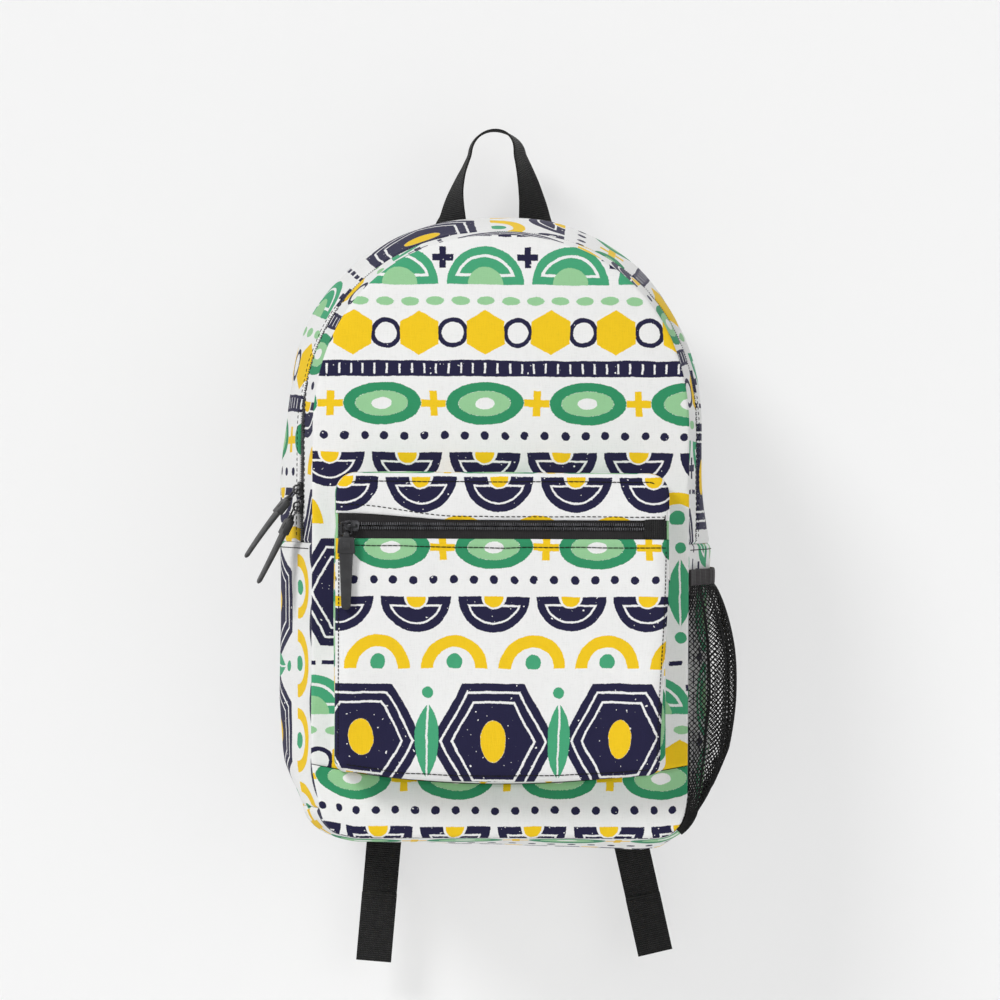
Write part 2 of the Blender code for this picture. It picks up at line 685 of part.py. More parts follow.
def make_pocket_front():
    low_z, high_z = POCKET_ZIP_Z - POCKET_ZIP_SLOT / 2, POCKET_ZIP_Z + POCKET_ZIP_SLOT / 2
    outer, inner = [], []
    for x in pocket_columns(POCKET_BOTTOM_RADIUS):
        floor = bottom_edge(x, POCKET_HALF_WIDTH, POCKET_BOTTOM_Z, POCKET_BOTTOM_RADIUS)
        roll = POCKET_BOTTOM_Z + POCKET_ROLL_WIDTH
        levels = spread(low_z, roll, 4) + spread(roll, floor, 3)[1:]
        outer.append([(x, pocket_y(x, z), z) for z in levels])
        inner.append([(x, pocket_y(x, z) + POCKET_CLOTH, z) for z in levels])
    solid("pocket_front_panel", *slab(outer, inner), "print")
    outer, inner = [], []
    for x in pocket_columns(POCKET_TOP_RADIUS):
        past = bottom_edge(x, POCKET_HALF_WIDTH, 0.0, POCKET_TOP_RADIUS)
        levels = spread(high_z, POCKET_TOP_Z - past, 2)
        outer.append([(x, pocket_y(x, z), z) for z in levels])
        inner.append([(x, pocket_y(x, z) + POCKET_CLOTH, z) for z in levels])
    solid("pocket_top_band", *slab(outer, inner), "print")


def pocket_outline():
    """The pocket's edge, counter-clockwise from the lower right, with outward normals."""
    route = []
    corners = (
        (1, POCKET_TOP_Z - POCKET_TOP_RADIUS, POCKET_TOP_RADIUS, 0),
        (-1, POCKET_TOP_Z - POCKET_TOP_RADIUS, POCKET_TOP_RADIUS, 90),
        (-1, POCKET_BOTTOM_Z + POCKET_BOTTOM_RADIUS, POCKET_BOTTOM_RADIUS, 180),
        (1, POCKET_BOTTOM_Z + POCKET_BOTTOM_RADIUS, POCKET_BOTTOM_RADIUS, 270),
    )
    for side, level, radius, start in corners:
        for turn in spread(0, 90, 4):
            angle = math.radians(start + turn)
            x = side * (POCKET_HALF_WIDTH - radius) + radius * math.cos(angle)
            route.append((x, level + radius * math.sin(angle), math.cos(angle), math.sin(angle)))
        following = 6 if start in (0, 180) else 5
        near = route[-1]
        far_x = -near[0] if start in (0, 180) else near[0]
        far_z = near[1]
        if start == 90:
            far_z = POCKET_BOTTOM_Z + POCKET_BOTTOM_RADIUS
        if start == 270:
            far_z = POCKET_TOP_Z - POCKET_TOP_RADIUS
        between = list(zip(spread(near[0], far_x, following), spread(near[1], far_z, following)))
        route += [(x, z, near[2], near[3]) for x, z in between[1:-1]]
    return route


def make_pocket_gusset():
    route = pocket_outline()
    sections = []
    for x, z, nx, nz in route:
        inner_x, inner_z = x - nx * POCKET_CLOTH, z - nz * POCKET_CLOTH
        start = pocket_y(x, max(z, POCKET_BOTTOM_Z)) + POCKET_CLOTH + GAP
        start_in = pocket_y(inner_x, inner_z) + POCKET_CLOTH + GAP
        start = max(start, start_in)
        end = front_y(x, z) - GAP
        end_in = front_y(inner_x, inner_z) - GAP
        mid = (start + end) / 2
        ring = [(x, start, z), (x, mid, z), (x, end, z), (inner_x, end_in, inner_z)]
        ring += [(inner_x, mid, inner_z), (inner_x, start, inner_z)]
        sections.append([Vector(p) for p in ring])
    solid("pocket_gusset", *loft(sections, closed=True), "print")


def pocket_tape(name, low, high):
    reach = POCKET_HALF_WIDTH - POCKET_CLOTH - GAP
    flat = POCKET_HALF_WIDTH - POCKET_ROLL_WIDTH
    side = [flat + (reach - flat) * s for s in (0.0, 0.4, 0.7, 1.0)]
    columns = [-x for x in side[::-1]] + side
    outer = [[(x, pocket_y(x, 0.0) + POCKET_CLOTH + GAP, z) for z in (low, high)] for x in columns]
    inner = [[(x, pocket_y(x, 0.0) + POCKET_CLOTH + GAP + TAPE, z) for z in (low, high)] for x in columns]
    solid(name, *slab(outer, inner), "zip_tape")


def make_pocket_zip():
    half = POCKET_ZIP_SLOT / 2 + POCKET_TAPE_TUCK
    pocket_tape("pocket_zip_upper_tape", POCKET_ZIP_Z + GAP, POCKET_ZIP_Z + half)
    pocket_tape("pocket_zip_lower_tape", POCKET_ZIP_Z - half, POCKET_ZIP_Z - GAP)
    base = POCKET_Y + POCKET_CLOTH
    end = POCKET_HALF_WIDTH - POCKET_COIL_END
    stop = POCKET_HALF_WIDTH - END_TAB_LENGTH - GAP
    xs = spread(-end, stop, 4)
    zs = spread(POCKET_ZIP_Z - COIL_WIDTH / 2, POCKET_ZIP_Z + COIL_WIDTH / 2, 2)
    outer = [[(x, base - COIL_HEIGHT, z) for z in zs] for x in xs]
    inner = [[(x, base, z) for z in zs] for x in xs]
    solid("pocket_zip_coil", *slab(outer, inner), "zip_coil")
    xs = [POCKET_HALF_WIDTH - END_TAB_LENGTH * s for s in (1.0, 0.7, 0.4, 0.15)]
    zs = (POCKET_ZIP_Z - END_TAB_WIDTH / 2, POCKET_ZIP_Z + END_TAB_WIDTH / 2)
    outer = [[(x, pocket_y(x, 0.0) + POCKET_CLOTH - END_TAB_THICK, z) for z in zs] for x in xs]
    inner = [[(x, pocket_y(x, 0.0) + POCKET_CLOTH, z) for z in zs] for x in xs]
    solid("pocket_zip_end_tab", *slab(outer, inner), "zip_tape")

    slider_x = -POCKET_HALF_WIDTH + POCKET_SLIDER_INSET + SLIDER_LENGTH / 2
    zip_frame = frame_of(Vector((slider_x, base, POCKET_ZIP_Z)), Vector((0, -1, 0)), Vector((1, 0, 0)))
    make_slider("pocket_slider", zip_frame)
    eye = Vector((slider_x, base - BAIL_HEIGHT, POCKET_ZIP_Z))
    hang = frame_of(eye, Vector((0, -1, 0)), Vector((0, 0, 1)))
    drop = BAIL_LENGTH / 2 - CROWN_WIDTH / 2 - 2 * WIRE_RADIUS
    ring_frame = hang @ Matrix.Translation((0, 0, -drop))
    wire_ring("pocket_bail", ring_frame @ Matrix.Rotation(math.pi, 4, "Z"), True)
    bar = hang @ Matrix.Translation((BAIL_WIDTH / 2, 0, -drop - BAIL_LENGTH / 2))
    make_pull("pocket_pull", bar, 0.0)


# Net side pocket

def net_swell(s, v):
    """How far the net stands off the gusset: s runs down from the band, v across the depth."""
    down = NET_SWELL * math.sin(math.pi * min(max(s, 0.0), 1.0)) ** NET_ROUNDING
    mouth = NET_MOUTH * (1 - max(s, 0.0)) ** 2
    return (down + mouth) * math.sin(math.pi * min(max(v, 0.0), 1.0)) ** NET_ROUNDING


def net_point(s, v, offset):
    low = CORNER_Z + GAP
    z = NET_TOP_Z - NET_BAND - GAP + s * (low - NET_TOP_Z + NET_BAND + GAP)
    place = (PANEL_HALF_WIDTH, z, 1.0, 0.0)
    return gusset_point(place, v, GAP + offset + net_swell(s, v))


def make_net():
    """A diamond net: each odd lattice place is a diamond, open inside and closed at the border."""
    vertices, index, faces = [], {}, []

    def point(i, j, layer):
        key = (round(i, 4), round(j, 4), layer)
        if key not in index:
            index[key] = len(vertices)
            vertices.append(net_point(i / NET_ROWS, j / NET_COLUMNS, layer * NET_THICK))
        return index[key]

    def both(corners):
        faces.append([point(i, j, 1) for i, j in corners])
        faces.append([point(i, j, 0) for i, j in reversed(corners)])

    for i in range(NET_ROWS + 1):
        for j in range(NET_COLUMNS + 1):
            if (i + j) % 2 == 0:
                continue
            around = [(i - 1, j), (i, j + 1), (i + 1, j), (i, j - 1)]
            inside = [0 <= a <= NET_ROWS and 0 <= b <= NET_COLUMNS for a, b in around]
            if all(inside):
                hole = [(i + (a - i) * NET_HOLE, j + (b - j) * NET_HOLE) for a, b in around]
                for k in range(4):
                    m = (k + 1) % 4
                    both([around[k], around[m], hole[m], hole[k]])
                    rim = (point(*hole[k], 1), point(*hole[m], 1), point(*hole[m], 0), point(*hole[k], 0))
                    faces.append(rim)
                continue
            for k in range(4):
                m = (k + 1) % 4
                if inside[k] and inside[m]:
                    both([around[k], around[m], (i, j)])
    rim = [(0, j) for j in range(NET_COLUMNS)] + [(i, NET_COLUMNS) for i in range(NET_ROWS)]
    rim += [(NET_ROWS, j) for j in range(NET_COLUMNS, 0, -1)] + [(i, 0) for i in range(NET_ROWS, 0, -1)]
    for a, b in zip(rim, rim[1:] + rim[:1]):
        faces.append((point(*a, 0), point(*b, 0), point(*b, 1), point(*a, 1)))
    solid("mesh_pocket", vertices, faces, "net")


def make_net_band():
    shares = spread(0.0, 1.0, NET_COLUMNS)

    def row(z, offset):
        place = (PANEL_HALF_WIDTH, z, 1.0, 0.0)
        return [gusset_point(place, v, GAP + offset + net_swell(0.0, v)) for v in shares]

    levels = (NET_TOP_Z, NET_TOP_Z - NET_BAND)
    outer = [row(z, BAND_THICK) for z in levels]
    inner = [row(z, 0.0) for z in levels]
    solid("mesh_pocket_band", *slab(outer, inner), "elastic")


# Grab loop and shoulder straps

def make_grab_loop():
    radius = LOOP_TOP_RADIUS + LOOP_THICK / 2
    centre_z = LOOP_THICK / 2 - radius
    foot_y = BACK_FACE_Y + GAP + LOOP_THICK / 2
    top_y = BACK_Y
    back_top = TOP_Z + END_FLARE
    foot_z = back_top - LOOP_FOOT_LENGTH
    half = []
    leave_z = back_top + LOOP_TWIST_RISE
    for s in (0.0, 0.5, 0.9, 1.0):
        half.append((LOOP_FOOT_HALF, foot_y, foot_z + (leave_z - foot_z) * s, 0.0))
    for s in (0.15, 0.3, 0.45, 0.6, 0.75, 0.9):
        x = LOOP_FOOT_HALF + (radius - LOOP_FOOT_HALF) * s
        z = leave_z + (centre_z - leave_z) * s
        turn = 90.0 * min(1.0, s / LOOP_TWIST_END)
        half.append((x, foot_y + (top_y - foot_y) * s, z, turn))
    for degrees in (0, 18, 36, 54, 72):
        a = math.radians(degrees)
        half.append((radius * math.cos(a), top_y, centre_z + radius * math.sin(a), 90.0))
    middle = [(0.0, top_y, centre_z + radius, 90.0)]
    other = [(-x, y, z, 180.0 - turn) for x, y, z, turn in half[::-1]]
    whole = half + middle + other
    path = [Vector((x, y, z)) for x, y, z, _ in whole]
    turns = [math.radians(turn) for _, _, _, turn in whole]
    across = [Vector((math.cos(turn), math.sin(turn), 0)) for turn in turns]
    count = len(path)
    vertices, faces = ribbon(path, across, [WEBBING_WIDTH] * count, [LOOP_THICK] * count)
    solid("grab_loop", vertices, faces, "webbing")


def ease(low, high, value):
    share = min(1.0, max(0.0, (value - low) / (high - low)))
    return share * share * (3 - 2 * share)


def strap_thick(share):
    """The pad's thickness along the strap, flattened at both sewn ends."""
    thin = max(1 - ease(*STRAP_TOP_TAPER, share), ease(*STRAP_LOW_TAPER, share))
    return STRAP_THICK + (STRAP_END_THICK - STRAP_THICK) * thin


def strap_path(side, low_x):
    """The pad's middle line: flat on the back at its top, bowed away from it, upright at its end."""
    points = []
    for share in spread(0.0, 1.0, STRAP_STEPS):
        x = side * STRAP_TOP_X + (low_x - side * STRAP_TOP_X) * ease(*STRAP_SPREAD, share)
        bow = STRAP_BOW * ease(*STRAP_BOW_OUT, share)
        bow += (STRAP_END_BOW - STRAP_BOW) * ease(*STRAP_BOW_IN, share)
        y = BACK_FACE_Y + GAP + strap_thick(share) / 2 + bow
        points.append(Vector((x, y, STRAP_TOP_Z - STRAP_DROP * share)))
    return points


def pad_section(centre, side, up, width, thick):
    ring = []
    for k in range(PAD_SIDES):
        a = math.pi * (2 * k + 1) / PAD_SIDES
        x = math.copysign(abs(math.cos(a)) ** PAD_FLATNESS, math.cos(a))
        y = math.copysign(abs(math.sin(a)) ** PAD_EDGE, math.sin(a))
        ring.append(centre + side * x * width / 2 + up * y * thick / 2)
    return ring


def make_strap(name, side, low_x):
    path = strap_path(side, low_x)
    along = tangents(path)
    sections = []
    for k, (point, forward) in enumerate(zip(path, along)):
        share = k / (len(path) - 1)
        across = Vector((1, 0, 0))
        across = (across - across.dot(forward) * forward).normalized()
        up = forward.cross(across)
        width = STRAP_WIDTH + (STRAP_LOW_WIDTH - STRAP_WIDTH) * share
        sections.append(pad_section(point, across, up, width, strap_thick(share)))
    solid(name, *loft(sections), "back_cloth")


def make_lock(name, low_x):
    """A ladder lock: three bars between two rails, hung from its top bar."""
    half = WEBBING_WIDTH / 2 + LOCK_SLOT_SLACK
    xs = [low_x - half - LOCK_RAIL, low_x - half, low_x + half, low_x + half + LOCK_RAIL]
    drops = [0.0]
    for size in (LOCK_TOP_BAR, LOCK_UPPER_SLOT, LOCK_MIDDLE_BAR, LOCK_LOWER_SLOT, LOCK_LOW_BAR):
        drops.append(drops[-1] + size)
    zs = [lock_top() - drop for drop in drops]
    holes = {(1, 1), (1, 3)}
    vertices, faces = [], []
    for y in (LOCK_Y - LOCK_THICK / 2, LOCK_Y + LOCK_THICK / 2):
        vertices += [(x, y, z) for x in xs for z in zs]
    rows = len(zs)
    layer = len(xs) * rows
    filled = {(i, j) for i in range(len(xs) - 1) for j in range(rows - 1)} - holes
    for i, j in sorted(filled):
        a = i * rows + j
        quad = (a, a + 1, a + rows + 1, a + rows)
        faces.append(quad)
        faces.append(tuple(k + layer for k in quad[::-1]))
        edges = (((i - 1, j), a, a + 1), ((i, j + 1), a + 1, a + rows + 1))
        edges += (((i + 1, j), a + rows + 1, a + rows), ((i, j - 1), a + rows, a))
        for neighbour, p, q in edges:
            if neighbour not in filled:
                faces.append((p, q, q + layer, p + layer))
    made = solid(name, vertices, faces, "lock_plastic")
    bevel = made.modifiers.new("edges", "BEVEL")
    bevel.width = LOCK_EDGE
    bevel.segments = 1


def lock_top():
    return STRAP_LOW_Z - GAP


def make_lock_loop(name, low_x):
    """The short webbing that is sewn on both faces of the strap's end and holds the lock's top bar."""
    out = STRAP_END_THICK / 2 + GAP + WEBBING / 2
    top = lock_top()
    bar_low = top - LOCK_TOP_BAR - GAP - WEBBING / 2
    down = [(out, STRAP_LOW_Z + LOCK_LOOP_REACH * s) for s in (1.0, 0.5, 0.05)]
    turn = [(out, bar_low + 0.0022), (out * 0.6, bar_low + 0.0004)]
    half = down + turn
    whole = half + [(0.0, bar_low)] + [(-y, z) for y, z in half[::-1]]
    path = [Vector((low_x, LOCK_Y + y, z)) for y, z in whole]
    count = len(path)
    across = [Vector((1, 0, 0))] * count
    solid(name, *ribbon(path, across, [WEBBING_WIDTH] * count, [WEBBING] * count), "webbing")


def make_webbing(name, side, x, sway, shown):
    """The adjusting webbing: up from its anchor, round the lock's middle bar and down as the tail."""
    middle_top = lock_top() - LOCK_TOP_BAR - LOCK_UPPER_SLOT
    middle_low = middle_top - LOCK_MIDDLE_BAR
    low_top = middle_low - LOCK_LOWER_SLOT
    low_end = low_top - LOCK_LOW_BAR
    face = LOCK_THICK / 2 + GAP + WEBBING / 2
    tail_y = LOCK_Y - face
    pulled_y = tail_y - WEBBING - GAP
    over_y = LOCK_Y + face + GAP / 2
    lap_y = BACK_FACE_Y + GAP + TAB_THICK + GAP + WEBBING / 2
    anchor_z = BOTTOM_Z + ANCHOR_RISE
    anchor_x = side * ANCHOR_X
    points = [
        (anchor_x, lap_y, anchor_z),
        (anchor_x, lap_y, anchor_z + ANCHOR_LAP),
        ((anchor_x + x) / 2, (lap_y + pulled_y) / 2, (anchor_z + ANCHOR_LAP + low_end) / 2),
        (x, pulled_y, low_end - 0.003),
        (x, pulled_y, low_top),
        (x, pulled_y, middle_low),
        (x, pulled_y + 0.0006, middle_top - 0.0008),
        (x, LOCK_Y - 0.0022, middle_top + 0.0018),
        (x, LOCK_Y, middle_top + 0.0023),
        (x, over_y - 0.0001, middle_top + 0.0010),
        (x, over_y, middle_top - 0.0006),
        (x, over_y, middle_low - 0.0006),
        (x, over_y - 0.0009, middle_low - 0.0017),
        (x, LOCK_Y + 0.0002, middle_low - 0.0026),
        (x, LOCK_Y - 0.0010, middle_low - 0.0030),
        (x, tail_y, low_top + 0.0005),
        (x, tail_y, low_top - 0.0012),
        (x, tail_y, low_end),
    ]
    tail_end = CREST_Z - shown
    for share in (0.15, 0.35, 0.55):
        points.append((x + sway * share, tail_y, low_end + (tail_end - low_end) * share))
    fold_z = tail_end + TAIL_FOLD
    fold_share = (low_end - fold_z) / (low_end - tail_end)
    points.append((x + sway * fold_share, tail_y, fold_z + 0.001))
    points.append((x + sway * fold_share, tail_y, fold_z))
    points.append((x + sway * (1 + fold_share) / 2, tail_y, (fold_z + tail_end) / 2))
    points.append((x + sway, tail_y, tail_end))
    path = [Vector(p) for p in points]
    count = len(path)
    thicks = [WEBBING] * (count - 3) + [2 * WEBBING + GAP] * 3
    across = [Vector((1, 0, 0))] * count
    solid(name, *ribbon(path, across, [WEBBING_WIDTH] * count, thicks), "webbing")


def make_anchor_tab(name, side):
    """The folded fabric that the webbing's lower end is sewn on, at the back panel's corner."""
    x = side * ANCHOR_X
    low = BOTTOM_Z + ANCHOR_RISE - TAB_FOOT
    outline = [(x - TAB_WIDE / 2, low), (x + TAB_WIDE / 2, low)]
    outline += [(x + TAB_NARROW / 2, low + TAB_LENGTH), (x - TAB_NARROW / 2, low + TAB_LENGTH)]
    sections = []
    for y in (BACK_FACE_Y + GAP, BACK_FACE_Y + GAP + TAB_THICK):
        sections.append([Vector((px, y, pz)) for px, pz in outline])
    solid(name, *loft(sections), "back_cloth")


def make_carry():
    make_grab_loop()
    left = (-1, "left", LEFT_STRAP_LOW_X, LEFT_TAIL_LEAN, LEFT_TAIL_SHOWN)
    right = (1, "right", RIGHT_STRAP_LOW_X, RIGHT_TAIL_LEAN, RIGHT_TAIL_SHOWN)
    for side, word, low_x, sway, shown in (left, right):
        make_strap("shoulder_strap_" + word, side, low_x)
        make_lock_loop("lock_loop_" + word, low_x)
        make_lock("ladder_lock_" + word, low_x)
        make_webbing("strap_webbing_" + word, side, low_x, sway, shown)
        make_anchor_tab("anchor_tab_" + word, side)


def main():
    clear_scene()
    make_body()
    make_gusset()
    make_main_zip()
    make_main_sliders()
    make_pocket_front()
    make_pocket_gusset()
    make_pocket_zip()
    make_net()
    make_net_band()
    make_carry()


main()
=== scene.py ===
"""Looks of the printed daypack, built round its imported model.

Metres, +Z up, with the front towards -Y. The surfaces of the body are the part's, with the cloth's
seams, folds and stitches added to them.
"""
import math

import bmesh
import bpy
import numpy as np
from mathutils import Matrix, Vector


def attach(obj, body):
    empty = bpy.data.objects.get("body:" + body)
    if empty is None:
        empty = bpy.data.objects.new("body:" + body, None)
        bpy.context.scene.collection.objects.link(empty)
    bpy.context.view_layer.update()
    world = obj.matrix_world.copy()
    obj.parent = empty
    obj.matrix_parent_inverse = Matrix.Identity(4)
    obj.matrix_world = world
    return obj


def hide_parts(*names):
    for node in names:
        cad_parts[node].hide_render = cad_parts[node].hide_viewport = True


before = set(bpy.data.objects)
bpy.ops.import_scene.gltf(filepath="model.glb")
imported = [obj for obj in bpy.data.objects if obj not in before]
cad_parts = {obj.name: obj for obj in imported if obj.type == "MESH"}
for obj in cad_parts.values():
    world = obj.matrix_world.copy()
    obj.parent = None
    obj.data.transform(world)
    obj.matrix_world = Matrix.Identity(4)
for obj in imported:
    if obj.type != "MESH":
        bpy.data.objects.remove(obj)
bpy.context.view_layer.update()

# Sizes of the part
GAP = 0.0003
SHELL = 0.002
BACK_PAD = 0.006
POCKET_CLOTH = 0.0016
TAPE = 0.0008
WEBBING = 0.0015
WEBBING_WIDTH = 0.025
TOP_Z = -0.078
PANEL_HALF_WIDTH = 0.132
BOTTOM_Z = TOP_Z - 0.422
ARCH_HEIGHT = 0.140
ARCH_EXPONENT = 2.2
CORNER_RADIUS = 0.016
FRONT_Y = -0.130
FRONT_SWELL = 0.010
SIDE_FLARE = 0.008
SIDE_SWELL = 0.015
END_FLARE = 0.005
END_SWELL = 0.0066
SWELL_SKEW = 1.3
SWELL_SIDE_POWER = 3
SWELL_LOW_POWER = 4
BASE_BAND = 0.038
BASE_SEAM_LIFT = 0.013
ZIP_TAPE_HALF = 0.013
COIL_WIDTH = 0.0044
COIL_HEIGHT = 0.0018
UPPER_SLIDER_DROP = 0.179
SLIDER_PITCH = 0.012
SLIDER_LENGTH = 0.011
SLIDER_WIDTH = 0.008
SLIDER_PLATE = 0.0015
CHANNEL_SLACK = 0.0004
CROWN_LENGTH = 0.0072
CROWN_HEIGHT = 0.0042
CROWN_WIDTH = 0.0024
CROWN_WALL = 0.0012
WIRE_RADIUS = 0.0007
BAIL_WIDTH = 0.0072
BAIL_LENGTH = 0.0085
LUG_RADIUS = 0.0021
LUG_REACH = 0.0019
BLOCK_LENGTH = 0.0115
BLOCK_WIDTH = 0.0112
BLOCK_THICK = 0.005
GRIP_LENGTH = 0.039
GRIP_WIDTH = 0.0086
GRIP_TIP_WIDTH = 0.0058
GRIP_THICK = 0.0034
GRIP_TIP_THICK = 0.0024
MAIN_BAIL_LEAN = 42.0
UPPER_PULL_LEAN = 40.0
LOWER_PULL_LEAN = 27.0
UPPER_GRIP_BEND = -6.0
LOWER_GRIP_BEND = 2.0
POCKET_HALF_WIDTH = 0.116
POCKET_TOP_Z = TOP_Z - 0.1666
POCKET_BOTTOM_Z = POCKET_TOP_Z - 0.209
POCKET_ZIP_Z = POCKET_TOP_Z - 0.0367
POCKET_Y = FRONT_Y - 0.033
POCKET_TOP_RADIUS = 0.014
POCKET_BOTTOM_RADIUS = 0.008
POCKET_EDGE_ROLL = 0.003
POCKET_ROLL_WIDTH = 0.012
POCKET_ZIP_SLOT = 0.0175
POCKET_TAPE_TUCK = 0.005
POCKET_COIL_END = 0.009
END_TAB_LENGTH = 0.018
END_TAB_WIDTH = 0.0165
END_TAB_THICK = 0.0012
POCKET_SLIDER_INSET = 0.0053
NET_BAND = 0.0115
NET_SWELL = 0.017
NET_ROUNDING = 0.8
BAND_THICK = 0.0014
LOOP_THICK = 0.002
LOOP_TOP_RADIUS = 0.017
LOOP_FOOT_HALF = 0.030
LOOP_FOOT_LENGTH = 0.018
LOOP_TWIST_RISE = 0.004
STRAP_TOP_Z = TOP_Z - 0.0205
STRAP_TOP_X = 0.050
STRAP_LOW_X = {-1: -0.069, 1: 0.080}
STRAP_DROP = 0.292
STRAP_WIDTH = 0.058
STRAP_LOW_WIDTH = 0.046
STRAP_THICK = 0.010
STRAP_END_THICK = 0.005
STRAP_BOW = 0.024
STRAP_END_BOW = 0.011
STRAP_TOP_TAPER = (0.02, 0.14)
STRAP_LOW_TAPER = (0.84, 0.93)
STRAP_SPREAD = (0.03, 0.85)
STRAP_BOW_OUT = (0.06, 0.5)
STRAP_BOW_IN = (0.55, 0.92)
LOCK_THICK = 0.0032
LOCK_TOP_BAR = 0.0035
LOCK_UPPER_SLOT = 0.009
LOCK_MIDDLE_BAR = 0.0035
LOCK_LOWER_SLOT = 0.0055
LOCK_LOW_BAR = 0.005
LOCK_LOOP_REACH = 0.020
ANCHOR_X = 0.092
ANCHOR_RISE = 0.012
ANCHOR_LAP = 0.020
TAB_LENGTH = 0.030
TAB_WIDE = 0.050
TAB_NARROW = 0.029
TAB_THICK = 0.0024
TAB_FOOT = 0.004
SPRING_Z = TOP_Z - ARCH_HEIGHT
CORNER_Z = BOTTOM_Z + CORNER_RADIUS
ZIP_END_Z = TOP_Z - 0.216
GUSSET_FRONT_Y = FRONT_Y + SHELL + GAP
GUSSET_DEPTH = -GAP - GUSSET_FRONT_Y
ZIP_V = 0.0267 / GUSSET_DEPTH
CHANNEL_ROOF = COIL_HEIGHT + CHANNEL_SLACK
SLIDER_TOP = CHANNEL_ROOF + SLIDER_PLATE
BAIL_HEIGHT = SLIDER_TOP + (CROWN_HEIGHT - CROWN_WALL) / 2
POCKET_BACK_Y = POCKET_Y + POCKET_CLOTH
SLOT_TOP_Z = POCKET_ZIP_Z + POCKET_ZIP_SLOT / 2
SLOT_LOW_Z = POCKET_ZIP_Z - POCKET_ZIP_SLOT / 2
STRAP_LOW_Z = STRAP_TOP_Z - STRAP_DROP
LOCK_TOP_Z = STRAP_LOW_Z - GAP
BACK_OUT = BACK_PAD + GAP
LOCK_Y = BACK_OUT + STRAP_END_THICK / 2 + STRAP_END_BOW
CREST_Z = BOTTOM_Z - END_FLARE - END_SWELL

# Sizes that differ a little from the part's
FRONT_PULL_BROAD = 1.10
NET_TOP_Z = TOP_Z - 0.2337
NET_MOUTH = 0.0012
NET_TUCK = 0.012
TAIL_SHOWN = {-1: 0.0870, 1: 0.0808}
TAIL_FOLD = {-1: 0.0490, 1: 0.0415}
TAIL_LEANS = {-1: -0.0150, 1: 0.0400}
LOOP_BOW = {-1: 0.0030, 1: 0.0016}
# How each leg of the grab loop turns, from its foot to its top: (share of the way, degrees)
LOOP_TWIST = {-1: ((0.0, 26.0), (0.12, 44.0), (0.35, 60.0), (0.55, 73.0), (0.79, 84.0), (1.0, 88.0)),
              1: ((0.0, 15.0), (0.12, 23.0), (0.40, 42.0), (0.74, 57.0), (1.0, 68.0))}

# How the cloth is sewn
SEAM_ROLL = 0.0026
SEAM_DEPTH = 0.0013
PUCKER = 0.00048
PUCKER_REACH = 0.012
PUCKER_PITCH = 0.008
FOLD_SIZES = (0.085, 0.034)
SMALL_FOLD_SHARE = 0.4
STITCH_PITCH = 0.0037
STITCH_RADIUS = 0.00038
STITCH_SIDES = 5
STITCH_SHARE = 0.68
# The rings of a stitch: the place along its half length, then the size and the rise in thread radii
STITCH_RINGS = ((-1, 0.35, -0.6), (-0.8, 0.9, 0.1), (0, 1.0, 0.45), (0.8, 0.9, 0.1), (1, 0.35, -0.6))
NOISE_CELLS = 32

# Where each piece is cut from the printed cloth
CUTS = {
    "front": (0.012, 0.078), "base": (0.031, 0.640), "gusset_front": (0.2, 0.05), "gusset_back": (0.42, 0.11),
    "left": (0.05, 0.13), "right": (0.31, 0.02), "bottom": (0.17, 0.21), "pocket": (0.006, 0.178),
    "band": (0.057, 0.395), "pocket_side": (0.09, 0.33),
}
# The seeds of each piece's puckers and folds, the depth of its folds, and how far from a seam it is reached
FOLDS = {
    "front": (3, 11, 0.0017, 0.03), "base": (5, 21, 0.0005, 0.01), "gusset_front": (31, 31, 0.0010, 0.014),
    "gusset_back": (33, 33, 0.0010, 0.014), "left": (34, 34, 0.0019, 0.014), "right": (36, 36, 0.0019, 0.014),
    "bottom": (39, 39, 0.0008, 0.014), "pocket": (41, 41, 0.0018, 0.02), "band": (43, 43, 0.0018, 0.02),
    "pocket_side": (48, 47, 0.0012, 0.008),
}
BACK_FOLDS = (81, 0.0002)

# The main zip's slit: closed, and wider where its sliders run
SLIT_CLOSED = 0.0011
SLIT_OPEN = 0.0046
SLIT_OPEN_Z = -0.212
SLIT_EASE = 0.030
SLIT_SEAM = 0.0030
SIDE_SEAM = 0.0042
# The highest main zip stitches that are sewn on each side
STITCH_TOP = {-1: -0.125, 1: -0.190}
# How far the pocket's top band hangs over the zip
FLAP_SAG = 0.0043

# How much further out the cloth stands behind the zip: by Z down each side, by X along the top and the floor
FULL_FROM = ZIP_V + 0.03
SIDE_FULL = {
    -1: ((-0.050, 0.0040), (-0.104, 0.0040), (-0.148, 0.0012), (-0.186, -0.0030), (-0.212, -0.0021),
         (-0.227, -0.0001), (-0.250, 0.0018), (-0.405, 0.0013), (-0.423, -0.0001), (-0.452, -0.0024),
         (-0.469, -0.0060), (-0.482, -0.0120)),
    1: ((-0.050, -0.0030), (-0.110, -0.0030), (-0.131, -0.0055), (-0.147, -0.0063), (-0.171, -0.0073),
        (-0.195, -0.0090), (-0.220, -0.0098), (-0.245, -0.0091), (-0.300, 0.0021), (-0.440, 0.0015),
        (-0.465, -0.0040), (-0.480, -0.0090), (-0.500, -0.0120)),
}
TOP_FULL = ((-0.10, 0.0), (-0.07, 0.0035), (-0.035, 0.0044), (0.0, 0.0042), (0.035, 0.0057), (0.065, 0.0055),
            (0.09, 0.0045), (0.11, 0.002))
FLOOR_FULL = ((-0.125, -0.006), (-0.09, -0.004), (-0.056, -0.002), (-0.027, 0.0), (0.065, 0.0018),
              (0.105, 0.0034), (0.118, 0.003), (0.13, 0.0))

